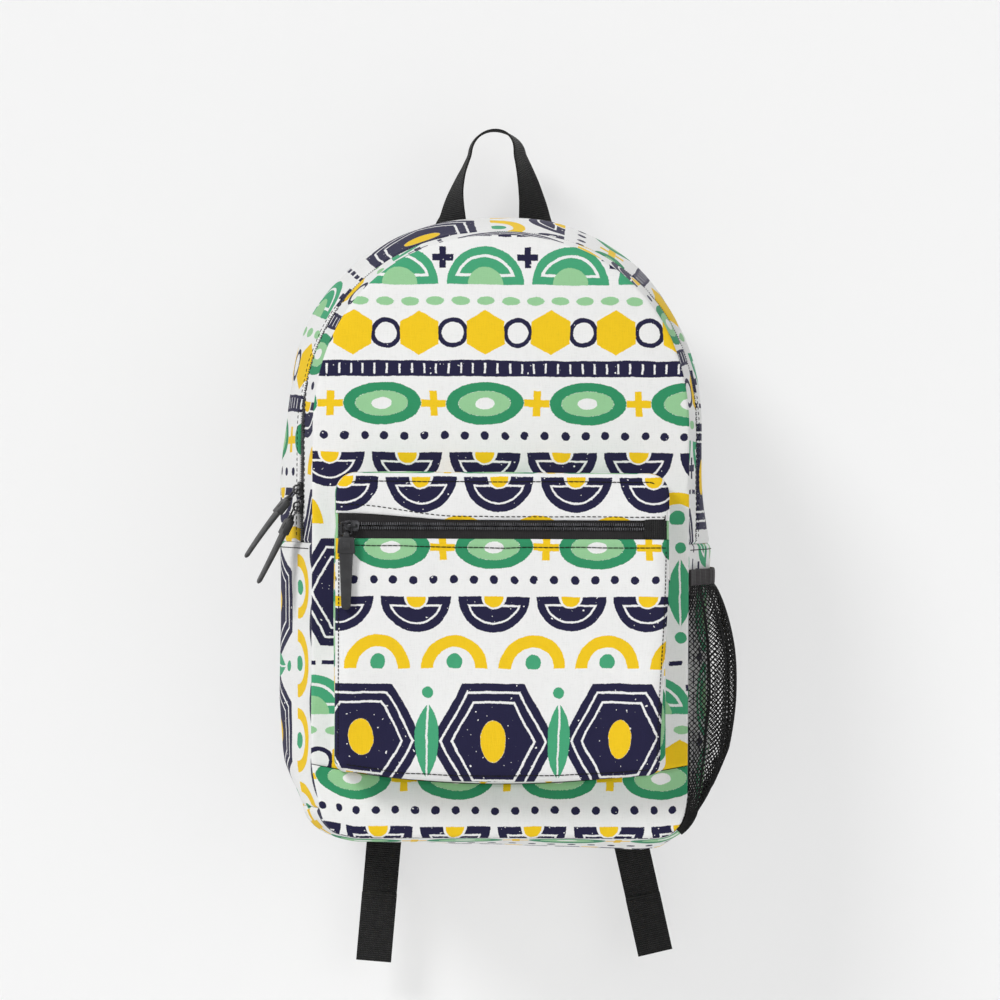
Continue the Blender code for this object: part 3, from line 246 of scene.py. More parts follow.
# The bag's slack. Each lower corner: the stretches across and down it grows over, and how far it moves
SLACK_CORNERS = (((-0.095, -0.134), (-0.440, -0.497), 0.0072, 0.0048),
                 ((0.100, 0.134), (-0.465, -0.500), -0.0035, 0.0020))
# The stretch of Y it fades out over in front of the straps, and the one over which the pocket's slack sets in
SLACK_BACK = (0.016, 0.004)
SLACK_POCKET = (-0.1412, -0.1500)
# How far the pocket's lower edge sags, how much less it does at its left, and how far its right is drawn in
POCKET_SAG = 0.0055
POCKET_SAG_LEFT = 0.0030
POCKET_DRAW = 0.0055
POCKET_SAG_FROM = -0.400
POCKET_DRAW_FROM = (0.020, -0.300)

SMOOTH_ANGLE = math.radians(42)
SIDES = {-1: "left", 1: "right"}
ACROSS = np.array([1.0, 0.0, 0.0])
FRONTWARD = np.array([0.0, -1.0, 0.0])
BACKWARD = np.array([0.0, 1.0, 0.0])


def spread(start, end, steps):
    return np.linspace(start, end, steps + 1)


def circle(steps):
    """Even angles once round."""
    return spread(0, 2 * math.pi, steps)[:-1]


def eased_shares(steps):
    """Shares from 0 to 1 that lie closer together at both ends."""
    return (1 - np.cos(spread(0, math.pi, steps))) / 2


def rounded(angle, power):
    """Places round a circle of radius 1 for a power of 1, and round a squarer shape for less."""
    c, s = np.cos(angle), np.sin(angle)
    return np.sign(c) * np.abs(c) ** power, np.sign(s) * np.abs(s) ** power


def ease(low, high, value):
    """0 at low and 1 at high, with level ends; low may be the larger one."""
    share = np.clip((value - low) / (high - low), 0.0, 1.0)
    return share * share * (3 - 2 * share)


def table_value(table, at):
    """The value at a place, from a table of places and values."""
    return np.interp(at, *zip(*sorted(table)))


def way_along(path):
    """The distance along a path at each of its points."""
    return np.concatenate([[0], np.cumsum(np.linalg.norm(np.diff(path, axis=0), axis=-1))])


def values_at(at, reach, values):
    """Rows of values, known at the distances reach, at other distances."""
    return np.stack([np.interp(at, reach, column) for column in np.transpose(values)], -1)


def soft_noise(points, size, seed):
    """Smooth noise between -1 and 1 at an array of points, with features of about the given size."""
    table = np.random.default_rng(seed).uniform(-1, 1, (NOISE_CELLS,) * 3)
    place = points / size + NOISE_CELLS * 8
    cell = np.floor(place).astype(int)
    part = place - cell
    part = part * part * (3 - 2 * part)
    total = np.zeros(points.shape[:-1])
    for corner in np.ndindex(2, 2, 2):
        weight = np.prod(np.where(corner, part, 1 - part), axis=-1)
        index = (cell + np.array(corner)) % NOISE_CELLS
        total += weight * table[index[..., 0], index[..., 1], index[..., 2]]
    return total


def unit(vectors):
    return vectors / np.maximum(np.linalg.norm(vectors, axis=-1, keepdims=True), 1e-9)


def stack(*values):
    return np.stack(np.broadcast_arrays(*values), -1)


# Meshes


def settled(points):
    """The bag's slack: its lower corners drawn in and up, and the pocket's lower edge sagging."""
    x, y, z = points.T
    cloth = ease(*SLACK_BACK, y)
    new_x, new_z = x, z
    for across, down, inward, upward in SLACK_CORNERS:
        share = cloth * ease(*across, x) * ease(*down, z)
        new_x, new_z = new_x + inward * share, new_z + upward * share
    pocket = ease(*SLACK_POCKET, y)
    draw_x, draw_z = POCKET_DRAW_FROM
    drawn = POCKET_DRAW * pocket * ease(draw_z, POCKET_BOTTOM_Z, z) * ease(draw_x, POCKET_HALF_WIDTH, x)
    sag = POCKET_SAG * (1 - (x / POCKET_HALF_WIDTH) ** 2)
    sag = sag - POCKET_SAG_LEFT * ease(-0.060, -POCKET_HALF_WIDTH, x)
    return stack(new_x - drawn, y, new_z - pocket * ease(POCKET_SAG_FROM, POCKET_BOTTOM_Z, z) * sag)


def mesh_object(name, points, faces, look, uvs=None):
    """A smooth mesh object with its faces turned outward; uvs has one place in metres for each point."""
    mesh = bpy.data.meshes.new(name)
    points = settled(np.asarray(points, float).reshape(-1, 3))
    mesh.from_pydata(points.tolist(), [], [tuple(f) for f in faces])
    if uvs is not None:
        layer = mesh.uv_layers.new(name="Cloth")
        corner = np.empty(len(mesh.loops), int)
        mesh.loops.foreach_get("vertex_index", corner)
        layer.data.foreach_set("uv", np.asarray(uvs, float).reshape(-1, 2)[corner].ravel())
    work = bmesh.new()
    work.from_mesh(mesh)
    bmesh.ops.recalc_face_normals(work, faces=work.faces)
    work.to_mesh(mesh)
    work.free()
    mesh.shade_smooth()
    mesh.set_sharp_from_angle(angle=SMOOTH_ANGLE)
    mesh.materials.append(look)
    made = bpy.data.objects.new(name, mesh)
    bpy.context.scene.collection.objects.link(made)
    return made


def grid_faces(rows, columns, start=0, wrap=False):
    index = start + np.arange(rows * columns).reshape(rows, columns)
    if wrap:
        index = np.hstack([index, index[:, :1]])
    quads = np.stack([index[:-1, :-1], index[:-1, 1:], index[1:, 1:], index[1:, :-1]], -1)
    return quads.reshape(-1, 4)


def shell(name, outer, inner, look, uvs):
    """A closed sheet between two grids of points."""
    rows, columns = outer.shape[:2]
    shift = rows * columns
    index = np.arange(shift).reshape(rows, columns)
    rim = np.concatenate([index[0, :-1], index[:-1, -1], index[-1, :0:-1], index[:0:-1, 0]])
    following = np.roll(rim, -1)
    sides = np.stack([rim, rim + shift, following + shift, following], -1)
    faces = np.concatenate([grid_faces(rows, columns), grid_faces(rows, columns, shift)[:, ::-1], sides])
    points = np.concatenate([outer.reshape(-1, 3), inner.reshape(-1, 3)])
    return mesh_object(name, points, faces.tolist(), look, np.concatenate([uvs.reshape(-1, 2)] * 2))


def fan_shell(name, outline, centre, shares, outer_y, inner_y, look, cut):
    """A closed panel in the XZ plane: rings from its outline to its centre, at two depths."""
    rings = centre + (outline[None] - centre) * shares[:, None, None]
    count = len(outline)
    flat = np.concatenate([rings.reshape(-1, 2), [centre]])
    points, faces = [], []
    for layer, depth in enumerate((outer_y, inner_y)):
        start = layer * len(flat)
        points.append(stack(flat[:, 0], depth(flat[:, 0], flat[:, 1]), flat[:, 1]))
        faces += grid_faces(len(shares), count, start, wrap=True).tolist()
        last = start + (len(shares) - 1) * count
        faces += [(last + k, last + (k + 1) % count, start + len(flat) - 1) for k in range(count)]
    faces += [(k, len(flat) + k, len(flat) + (k + 1) % count, (k + 1) % count) for k in range(count)]
    return mesh_object(name, np.concatenate(points), faces, look, np.concatenate([flat + cut] * 2))


def capped_faces(rows, columns, start=0):
    """The faces of a tube of several rows of points, closed at both ends."""
    last = start + (rows - 1) * columns
    faces = grid_faces(rows, columns, start, wrap=True).tolist()
    return faces + [tuple(range(start, start + columns))[::-1], tuple(range(last, last + columns))]


def tube(name, sections, look, closed=False, uvs=None):
    """A mesh through sections of the same number of points, capped at both ends unless it is closed."""
    sections = np.asarray(sections, float)
    rows, columns = sections.shape[:2]
    if closed:
        faces = (grid_faces(rows + 1, columns, wrap=True) % (rows * columns)).tolist()
    else:
        faces = capped_faces(rows, columns)
    return mesh_object(name, sections, faces, look, uvs)


def swept(name, path, reach, side, up, x, y, look):
    """A tube of sections x, y along a path; its UVs are metres across it and along it."""
    sections = path[:, None] + x[..., None] * side[:, None] + y[..., None] * up[:, None]
    return tube(name, sections, look, uvs=stack(x, reach[:, None]))


def joined(name, objects):
    """One object out of several; the first one's material is kept for all."""
    with bpy.context.temp_override(active_object=objects[0], selected_editable_objects=objects):
        bpy.ops.object.join()
    objects[0].name = name
    return objects[0]


def edge_distance(points, outline):
    """How far each 2-D point is from a closed outline, in metres."""
    best = np.full(points.shape[:-1], np.inf)
    for a, b in zip(outline, np.roll(outline, -1, axis=0)):
        run = b - a
        share = np.clip(((points - a) @ run) / max(run @ run, 1e-12), 0, 1)
        best = np.minimum(best, np.linalg.norm(points - a - share[..., None] * run, axis=-1))
    return best


def seam_dip(distance):
    """How far a panel turns in towards a seam at its edge."""
    near = np.clip(1 - distance / SEAM_ROLL, 0, 1)
    return SEAM_DEPTH * (1 - np.sqrt(1 - near * near))


def puckers(points, distance, seed):
    """Small ripples beside a seam."""
    fade = np.clip(1 - distance / PUCKER_REACH, 0, 1) ** 2
    return PUCKER * fade * soft_noise(points, PUCKER_PITCH, seed)


def folds(points, seed, depth):
    """Broad soft undulations of cloth that hangs empty."""
    broad, small = (soft_noise(points, size, seed + k) for k, size in enumerate(FOLD_SIZES))
    return depth * (broad + SMALL_FOLD_SHARE * small)


def slack(points, far, piece):
    """How far a piece's cloth lies off its even surface, at a distance from its seams."""
    pucker_seed, seed, depth, fade = FOLDS[piece]
    within = np.clip(far / fade, 0, 1)
    return puckers(points, far, pucker_seed) + within * folds(points, seed, depth) - seam_dip(far)


def stitches(name, path, normals, look, pitch=STITCH_PITCH, share=STITCH_SHARE):
    """Thread along a path: one short rounded bar for each stitch, half sunk in the cloth."""
    path = np.asarray(path, float)
    normals = np.broadcast_to(normals, path.shape)
    reach = way_along(path)
    count = max(1, int(reach[-1] / pitch))
    places = share * pitch / 2 * np.array(STITCH_RINGS)[:, 0]
    angle = circle(STITCH_SIDES)[:, None]
    points, faces = [], []
    for k in range(count):
        middle = (k + 0.5) * reach[-1] / count
        line = values_at(middle + places, reach, path)
        up = unit(values_at(middle, reach, normals))
        side = np.cross(unit(line[-1] - line[0]), up)
        ring = np.cos(angle) * side + np.sin(angle) * up
        faces += capped_faces(len(STITCH_RINGS), STITCH_SIDES, len(points) * STITCH_SIDES)
        for place, (_, size, rise) in zip(line, STITCH_RINGS):
            points.append(place + STITCH_RADIUS * (rise * up + size * ring))
    return mesh_object(name, np.concatenate(points), faces, look)


def wear(made, nodes=(), body="bag"):
    """Ties a piece to its body and hides the plain solids that it stands for."""
    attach(made, body)
    if nodes:
        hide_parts(*nodes)
    return made


def polygon_area(outline):
    x, z = outline[:, 0], outline[:, 1]
    return abs(np.dot(x, np.roll(z, -1)) - np.dot(z, np.roll(x, -1))) / 2


# The body's outline and surfaces, as in the part


def swell(v, normal_x):
    """How far the gusset stands out at depth shares v, and the slope of that."""
    sideways = normal_x * normal_x
    flare = END_FLARE + (SIDE_FLARE - END_FLARE) * sideways
    bulge = END_SWELL + (SIDE_SWELL - END_SWELL) * sideways
    phase = np.pi * v ** SWELL_SKEW
    turn = np.pi * SWELL_SKEW * np.maximum(v, 1e-9) ** (SWELL_SKEW - 1) * np.cos(phase)
    return flare * v + bulge * np.sin(phase), flare + bulge * turn


def fullness(x, z, normal_x, normal_z):
    """How much further the body stands out behind the zip than the part's even curve."""
    side = np.where(normal_x < 0, table_value(SIDE_FULL[-1], z), table_value(SIDE_FULL[1], z))
    end = np.where(normal_z > 0, table_value(TOP_FULL, x), table_value(FLOOR_FULL, x))
    return normal_x * normal_x * side + normal_z * normal_z * end


def gusset_surface(route, v, offset):
    """Points and outward normals over a route (x, z, normal x, normal z) at depth shares v."""
    x, z, nx, nz = (route[..., i] for i in range(4))
    out, slope = swell(v, nx)
    phase = np.pi * np.clip((v - FULL_FROM) / (1 - FULL_FROM), 0, 1)
    out = out + fullness(x, z, nx, nz) * np.sin(phase) ** 2
    normals = unit(stack(nx * GUSSET_DEPTH, -slope, nz * GUSSET_DEPTH))
    points = stack(x + nx * out, GUSSET_FRONT_Y + v * GUSSET_DEPTH, z + nz * out)
    return points + normals * np.asarray(offset)[..., None], normals


def arch_route(steps):
    """The arch over the top, from left to right."""
    side, rise = rounded(math.pi * (1 - spread(0, 1, steps)), 2 / ARCH_EXPONENT)
    slope_x = np.sign(side) * np.abs(side) ** (ARCH_EXPONENT - 1) / PANEL_HALF_WIDTH
    slope_z = rise ** (ARCH_EXPONENT - 1) / ARCH_HEIGHT
    size = np.hypot(slope_x, slope_z)
    return stack(PANEL_HALF_WIDTH * side, SPRING_Z + ARCH_HEIGHT * rise, slope_x / size, slope_z / size)


def side_route(side, top, bottom, steps):
    """A straight side, with its outward direction."""
    z = spread(top, bottom, steps)
    return stack(side * PANEL_HALF_WIDTH, z, float(side), 0.0)


def corner_route(side, steps):
    """A lower corner, from the side down to the floor."""
    angle = spread(GAP / CORNER_RADIUS, math.pi / 2, steps)
    c, s = np.cos(angle), np.sin(angle)
    x = side * (PANEL_HALF_WIDTH - CORNER_RADIUS + CORNER_RADIUS * c)
    return stack(x, CORNER_Z - CORNER_RADIUS * s, side * c, -s)


def zip_route(below):
    """Up the left side, over the arch and down the right side, ending this far below the zip's ends."""
    left = side_route(-1, ZIP_END_Z - below, SPRING_Z, 60)[:-1]
    right = side_route(1, SPRING_Z, ZIP_END_Z - below, 60)[1:]
    return np.concatenate([left, arch_route(900), right])


def bottom_route():
    """Round the left corner, along the floor and round the right corner."""
    left, right = corner_route(-1, 40), corner_route(1, 40)[::-1]
    middle = PANEL_HALF_WIDTH - CORNER_RADIUS
    floor = stack(spread(-middle, middle, 160)[1:-1], BOTTOM_Z, 0.0, -1.0)
    return np.concatenate([left, floor, right])


def resample(route, step):
    """The route at even steps, with the way along it in metres."""
    reach = way_along(route[:, :2])
    at = spread(0, reach[-1], max(2, round(reach[-1] / step)))
    even = values_at(at, reach, route)
    if route.shape[1] == 4:
        even[:, 2:] = unit(even[:, 2:])
    return even, at


def front_y(x, z):
    """The front's surface: fullest in the middle, level at its edge and its foot."""
    sideways = (np.abs(x) / PANEL_HALF_WIDTH) ** ARCH_EXPONENT
    upwards = (np.maximum(z - SPRING_Z, 0) / ARCH_HEIGHT) ** ARCH_EXPONENT
    across = np.minimum((sideways + upwards) ** (1 / ARCH_EXPONENT), 1.0)
    down = np.clip((SPRING_Z - z) / (SPRING_Z - BOTTOM_Z), 0.0, 1.0)
    return FRONT_Y - FRONT_SWELL * (1 - across ** SWELL_SIDE_POWER) * (1 - down ** SWELL_LOW_POWER)


def base_seam(x):
    """The level of the seam between the front and its base band, higher at the sides."""
    return BOTTOM_Z + BASE_BAND + BASE_SEAM_LIFT * (x / PANEL_HALF_WIDTH) ** 2


def panel_grid(columns, tops, floors, share):
    """X and Z between two edges, given as levels over their columns, and the outline round them."""
    z = tops[:, None] * (1 - share) + floors[:, None] * share
    edge = np.concatenate([stack(columns, tops), stack(columns, floors)[::-1]])
    return columns[:, None] + 0 * z, z, edge


def bottom_edge(x, half_width, floor, radius):
    """The level of a straight lower edge with round corners."""
    past = np.maximum(np.abs(x) - (half_width - radius), 0.0)
    return floor + radius - np.sqrt(np.maximum(0.0, radius * radius - past * past))


def pocket_y(x, z):
    """The pocket's front, rolled back a little at its sides and foot."""
    near = np.minimum(POCKET_HALF_WIDTH - np.abs(x), z - POCKET_BOTTOM_Z)
    share = np.clip(near / POCKET_ROLL_WIDTH, 0.0, 1.0)
    return POCKET_Y + POCKET_EDGE_ROLL * (1 - share) ** 2


# Materials


def linear(code):
    """A colour as written in hexadecimal, in the render's linear values."""
    parts = [int(code[i:i + 2], 16) / 255 for i in (0, 2, 4)]
    return [p / 12.92 if p <= 0.04045 else ((p + 0.055) / 1.055) ** 2.4 for p in parts] + [1.0]


def feed(tree, place, value):
    """Gives an input a field, another node's output or a plain value."""
    value = getattr(value, "socket", value)
    if isinstance(value, bpy.types.NodeSocket):
        tree.links.new(value, place)
    else:
        place.default_value = value


class Field:
    """A number at each place of a surface. Sums and comparisons of fields add Math nodes."""

    def __init__(self, tree, socket):
        self.tree, self.socket = tree, socket

    def join(self, operation, *others, clamp=False):
        node = self.tree.nodes.new("ShaderNodeMath")
        node.operation, node.use_clamp = operation, clamp
        for place, value in zip(node.inputs, (self,) + others):
            feed(self.tree, place, value)
        return Field(self.tree, node.outputs[0])

    def __add__(self, other):
        return self.join("ADD", other)

    def __sub__(self, other):
        return self.join("SUBTRACT", other)

    def __mul__(self, other):
        return self.join("MULTIPLY", other)

    def __neg__(self):
        return self.join("MULTIPLY", -1.0)

    def away(self):
        return self.join("ABSOLUTE")

    def least(self, other):
        return self.join("MINIMUM", other)

    def most(self, other):
        return self.join("MAXIMUM", other)

    def wrap(self, pitch):
        return self.join("WRAP", pitch / 2, -pitch / 2)

    def sine(self, pitch):
        return (self * (2 * math.pi / pitch)).join("SINE")

    def fade(self, low, high):
        """1 below low and 0 above high."""
        node = self.tree.nodes.new("ShaderNodeMapRange")
        node.interpolation_type = "SMOOTHSTEP"
        self.tree.links.new(self.socket, node.inputs["Value"])
        for key, value in (("From Min", low), ("From Max", high), ("To Min", 1.0), ("To Max", 0.0)):
            node.inputs[key].default_value = value
        return Field(self.tree, node.outputs["Result"])


def cloth_place(tree):
    """The place on the cut cloth, in metres: across and along."""
    uv = tree.nodes.new("ShaderNodeUVMap")
    uv.uv_map = "Cloth"
    apart = tree.nodes.new("ShaderNodeSeparateXYZ")
    tree.links.new(uv.outputs[0], apart.inputs[0])
    return Field(tree, apart.outputs[0]), Field(tree, apart.outputs[1])


def together(tree, *fields):
    """A vector out of three fields or numbers."""
    node = tree.nodes.new("ShaderNodeCombineXYZ")
    for place, field in zip(node.inputs, fields):
        feed(tree, place, field)
    return node.outputs[0]


def noise(tree, place, size, detail=2.0):
    """Noise about 0.5 and its three channels less 0.5, with features of about the given size."""
    node = tree.nodes.new("ShaderNodeTexNoise")
    node.inputs["Scale"].default_value = 1 / size
    node.inputs["Detail"].default_value = detail
    tree.links.new(place, node.inputs["Vector"])
    apart = tree.nodes.new("ShaderNodeSeparateColor")
    tree.links.new(node.outputs["Color"], apart.inputs[0])
    return Field(tree, node.outputs[0]), [Field(tree, s) - 0.5 for s in apart.outputs]


def object_place(tree):
    return tree.nodes.new("ShaderNodeTexCoord").outputs["Object"]


def blend(tree, share, first, second):
    """A colour between two: each a socket or a colour."""
    node = tree.nodes.new("ShaderNodeMix")
    node.data_type = "RGBA"
    for place, value in (("Factor", share), (6, first), (7, second)):
        feed(tree, node.inputs[place], value)
    return node.outputs[2]


def bump(tree, height, distance):
    node = tree.nodes.new("ShaderNodeBump")
    node.inputs["Strength"].default_value = 1.0
    node.inputs["Distance"].default_value = distance
    tree.links.new(height.socket, node.inputs["Height"])
    return node.outputs[0]


def new_look(name, roughness, specular, metallic=0.0, sheen=0.0):
    made = bpy.data.materials.new(name)
    made.use_nodes = True
    tree = made.node_tree
    shader = tree.nodes["Principled BSDF"]
    for key, value in (("Roughness", roughness), ("Metallic", metallic), ("Specular IOR Level", specular),
                       ("Sheen Weight", sheen)):
        shader.inputs[key].default_value = value
    return made, tree, shader


# The print: bands of plain shapes on white, each shape a distance to its edge in metres

INKS = {
    "navy": "1D1B3C",
    "yellow": "F2C81A",
    "green": "45A377",
    "light_green": "97CB98",
    "dark_green": "2F8F62",
}
CLOTH_WHITE = "EFEFEE"
PRINT_REPEAT = 0.300
EDGE_SOFT = 0.00014
# The print's wander: the size of its features, and how far it goes across and along
PRINT_WANDERS = ((0.030, 0.0040, 0.0030), (0.0035, 0.0009, 0.0009))
# The grain of the ink's edge, how far it moves the edge, and the white specks in the navy
INK_GRAIN = 0.0009
INK_ROUGH = 0.0007
SPECK = 0.0028
SPECK_FADE = (0.72, 0.75)
# The cloth's yarns: their width, how much longer they are, how deep, and how much painted shade darkens the
# cloth between them
YARN = 0.0006
YARN_STRETCH = 0.09
WEAVE_DEPTH = 0.00016
YARN_PAINTED_SHADE = 0.16
# Woven pieces: how much their ribs and their yarns show, in the bump and in the painted shade and light of
# the colour, and the size of their wear
RIB_SHARE = 0.4
YARN_SHARE = 0.15
WEAR_SIZE = 0.004
# Moulded pieces: the size of their unevenness, where it fades, how much the roughness varies, and how deep
# the grain is
UNEVEN_SIZE = 0.006
UNEVEN_FADE = (0.65, 0.35)
ROUGH_SWING = 0.24
GRAIN_DEPTH = 0.00004


def disc(x, y, radius):
    return (x * x + y * y).join("SQRT") - radius


def oval(x, y, half_x, half_y):
    return disc(x * (1 / half_x), y * (1 / half_y), 1.0) * min(half_x, half_y)


def bar(x, y, half_x, half_y):
    return (x.away() - half_x).most(y.away() - half_y)


def cross(x, y, reach, half):
    return bar(x, y, reach, half).least(bar(x, y, half, reach))


def six_sided(x, y, radius):
    slanted = x.away() * 0.866 + y.away() * 0.5
    return slanted.most(y.away()) - radius


def leaf(x, y, half_width, half_length):
    """A pointed oval: where two discs overlap."""
    radius = (half_width ** 2 + half_length ** 2) / (2 * half_width)
    return disc(x.away() + (radius - half_width), y, radius)


def line_in(shape, depth, half):
    """A band inside a shape's edge, at a depth from it."""
    return (shape + depth).away() - half


def print_bands(u, v):
    """The printed shapes, by ink."""
    def row(centre, pitch, shift=0.0):
        return (u + shift * pitch).wrap(pitch), v - centre

    x, y = row(0.002, 0.054)
    domes = disc(x, y, 0.0245).most(-y)
    domes = domes.most(-line_in(domes, 0.0062, 0.0007)).most(-disc(x, y, 0.0085))
    coins = disc(x, y - 0.0008, 0.0066).most(-y)
    x, y = row(0.052, 0.054, 0.5)
    arcs = (disc(x, y, 0.0190).away() - 0.0042).most(y)
    beads = disc(x, y + 0.0045, 0.0056).most(y)
    x, y = row(0.100, 0.092)
    great = six_sided(x, y, 0.0375)
    great = great.most(-line_in(great, 0.0062, 0.0008)).most(-line_in(great, 0.0130, 0.0008))
    heart = oval(x, y, 0.0085, 0.0125)
    x, y = row(0.100, 0.092, 0.5)
    leaves = leaf(x, y, 0.0085, 0.0240).most(-(x.away() - 0.0007))
    buds = disc(x, y.away() - 0.0315, 0.0040)
    x, y = row(0.1495, 0.0135)
    dashes = bar(x, y, 0.0046, 0.0015)
    x, y = row(0.1850, 0.060)
    hills = disc(x, y, 0.0270).most(y)
    hills = hills.most(-line_in(hills, 0.0066, 0.0010))
    low_hills = disc(x, y, 0.0125).most(y)
    x, y = row(0.1660, 0.060, 0.5)
    plus = cross(x, y, 0.0075, 0.0023)
    x, y = row(0.1965, 0.0175)
    seeds = oval(x, y, 0.0062, 0.0030)
    x, y = row(0.2185, 0.046)
    tiles = six_sided(y, x, 0.0135)
    x, y = row(0.2185, 0.046, 0.5)
    rings = disc(x, y, 0.0088).away() - 0.0016
    x, y = row(0.2435, 0.0085)
    ticks = bar(x, y, 0.0007, 0.0035)
    stripe = (y.away() - 0.0056).most(-ticks)
    x, y = row(0.2680, 0.072)
    eyes = oval(x, y, 0.0270, 0.0150)
    inner = oval(x, y, 0.0185, 0.0088)
    pupils = oval(x, y, 0.0070, 0.0040)
    x, y = row(0.2680, 0.072, 0.5)
    sun = cross(x, y, 0.0088, 0.0026)
    x, y = row(0.2905, 0.0140)
    dots = disc(x, y, 0.0029)
    navy = domes.least(great.most(-heart)).least(dashes).least(plus)
    return {
        "navy": navy.least(rings).least(stripe).least(dots),
        "yellow": arcs.least(heart).least(tiles).least(sun).least(coins),
        "green": leaves.least(hills).least(beads).least(buds),
        "light_green": seeds.least(low_hills).least(inner.most(-pupils)),
        "dark_green": eyes.most(-inner),
    }


def weave_bump(tree, u, v):
    """Yarns of uneven thickness, across and along; gives the bump and its height, which also sets the painted
    shade between the yarns.
    """
    across = noise(tree, together(tree, u * YARN_STRETCH, v, 0.0), YARN, 1.0)[0]
    along = noise(tree, together(tree, u, v * YARN_STRETCH, 0.37), YARN, 1.0)[0]
    height = across + along
    return bump(tree, height, WEAVE_DEPTH), height


def printed_look():
    """White cloth printed with the bands, the edges of the ink a little uneven, the navy speckled, and
    painted shade between the yarns.
    """
    made, tree, shader = new_look("printed_cloth", 0.85, 0.25, sheen=0.05)
    u, v = cloth_place(tree)
    flat = together(tree, u, v, 0.0)
    sideways, down = u, v * -1.0
    for size, across, along in PRINT_WANDERS:
        drift = noise(tree, flat, size)[1]
        sideways, down = sideways + drift[0] * across, down + drift[1] * along
    down = down.wrap(PRINT_REPEAT) + PRINT_REPEAT / 2
    grain = noise(tree, flat, INK_GRAIN, 1.0)[0]
    specks = noise(tree, flat, SPECK, 1.0)[0].fade(*SPECK_FADE)
    color = linear(CLOTH_WHITE)
    for ink, shape in print_bands(sideways, down).items():
        share = (shape + (grain - 0.5) * INK_ROUGH).fade(-EDGE_SOFT, EDGE_SOFT)
        if ink == "navy":
            share = share * specks
        color = blend(tree, share, color, linear(INKS[ink]))
    normal, yarn = weave_bump(tree, u, v)
    # painted shade: the colour is darkened where the weave's height is low, between the yarns
    shade = (yarn * YARN_PAINTED_SHADE + (1 - YARN_PAINTED_SHADE)).least(1.0)
    darker = tree.nodes.new("ShaderNodeHueSaturation")
    tree.links.new(color, darker.inputs["Color"])
    tree.links.new(shade.socket, darker.inputs["Value"])
    tree.links.new(darker.outputs[0], shader.inputs["Base Color"])
    tree.links.new(normal, shader.inputs["Normal"])
    return made


def woven_look(name, dark, light, rib, depth, roughness=0.8, cross_rib=None, sheen=0.1):
    """Webbing, tape or plain cloth: ribs across it, finer yarns along it; its colour follows the bump's
    height, as painted shade in the grooves and painted light on the crests, with random wear.
    """
    made, tree, shader = new_look(name, roughness, 0.3, sheen=sheen)
    u, v = cloth_place(tree)
    wear_off = noise(tree, together(tree, u, v, 0.0), WEAR_SIZE)[0]
    height = v.sine(rib) * RIB_SHARE + u.sine(cross_rib or rib * 0.8) * YARN_SHARE + wear_off
    # painted shade and light: dark in the grooves and light on the crests of the ribs and yarns, plus random
    # wear
    color = blend(tree, (height - 0.1).join("MULTIPLY", 1.0, clamp=True), linear(dark), linear(light))
    tree.links.new(color, shader.inputs["Base Color"])
    tree.links.new(bump(tree, height, depth), shader.inputs["Normal"])
    return made


def moulded_look(name, color, lighter, roughness, metallic=0.0, grain=0.0006, specular=0.5):
    """Moulded plastic, rubber or painted metal, a little worn and uneven."""
    made, tree, shader = new_look(name, roughness, specular, metallic)
    place = object_place(tree)
    uneven = noise(tree, place, UNEVEN_SIZE)[0]
    fine = noise(tree, place, grain, 1.0)[0]
    worn = blend(tree, uneven.fade(*UNEVEN_FADE), linear(lighter), linear(color))
    tree.links.new(worn, shader.inputs["Base Color"])
    feed(tree, shader.inputs["Roughness"], uneven * ROUGH_SWING + (roughness - ROUGH_SWING / 2))
    tree.links.new(bump(tree, fine, GRAIN_DEPTH), shader.inputs["Normal"])
    return made


def make_looks():
    return {
        "print": printed_look(),
        # woven looks: the dark colour is painted shade in the rib grooves, the light one painted light on the
        # crests
        "webbing": woven_look("webbing", "080808", "2B2B2B", 0.0015, 0.00060, sheen=0.02),
        "back_cloth": woven_look("back_cloth", "262628", "3B3B3E", 0.0022, 0.00030, 0.95, 0.0022),
        "binding": woven_look("binding", "1D1D1F", "2C2C2E", 0.0012, 0.00012),
        "elastic": woven_look("elastic", "1D1A1B", "332F31", 0.0010, 0.00015, 0.85, 0.0014, 0.04),
        "tape": woven_look("zip_tape", "181617", "272526", 0.0012, 0.00010, 0.8, 0.0012, 0.04),
        "net": moulded_look("net_yarn", "060606", "0C0C0D", 0.75, specular=0.2),
        "coil": moulded_look("zip_coil", "454548", "66666A", 0.25),
        "metal": moulded_look("zip_metal", "242426", "48484B", 0.27, 0.6),
        "rubber": moulded_look("pull_rubber", "1D1D1F", "28282A", 0.40),
        "plastic": moulded_look("lock_plastic", "19191A", "262628", 0.38),
        "thread": moulded_look("thread", "0D0D0E", "151516", 0.7, grain=0.0003, specular=0.2),
        "pale_thread": moulded_look("pale_thread", "2B2B2D", "3A3A3C", 0.6, grain=0.0003),
    }


looks = make_looks()


# Body panels

LAST_RING = 0.02
DRAG_STRETCH = 0.45
GUSSET_STEP = 0.0019
BULGE_LENGTH = 1.03


def front_outline():
    level = base_seam(PANEL_HALF_WIDTH) + GAP
    left = side_route(-1, level, SPRING_Z, 110)[:-1, :2]
    right = side_route(1, SPRING_Z, level, 110)[1:, :2]
    x = spread(PANEL_HALF_WIDTH, -PANEL_HALF_WIDTH, 150)[1:-1]
    return np.concatenate([left, arch_route(230)[:, :2], right, stack(x, base_seam(x) + GAP)])


def near_shares(power, steps):
    """Ring shares from 1 down to near 0, closest together at the edge."""
    return 1 - (1 - LAST_RING) * spread(0, 1, steps) ** power


def front_folds(x, z):
    """Drag lines that run down from the arch, half as deep beside the pocket."""
    upper = ease(POCKET_TOP_Z - 0.02, POCKET_TOP_Z + 0.05, z)
    return folds(stack(x, z * DRAG_STRETCH, 0.0), *FOLDS["front"][1:3]) * (0.5 + 0.5 * upper)


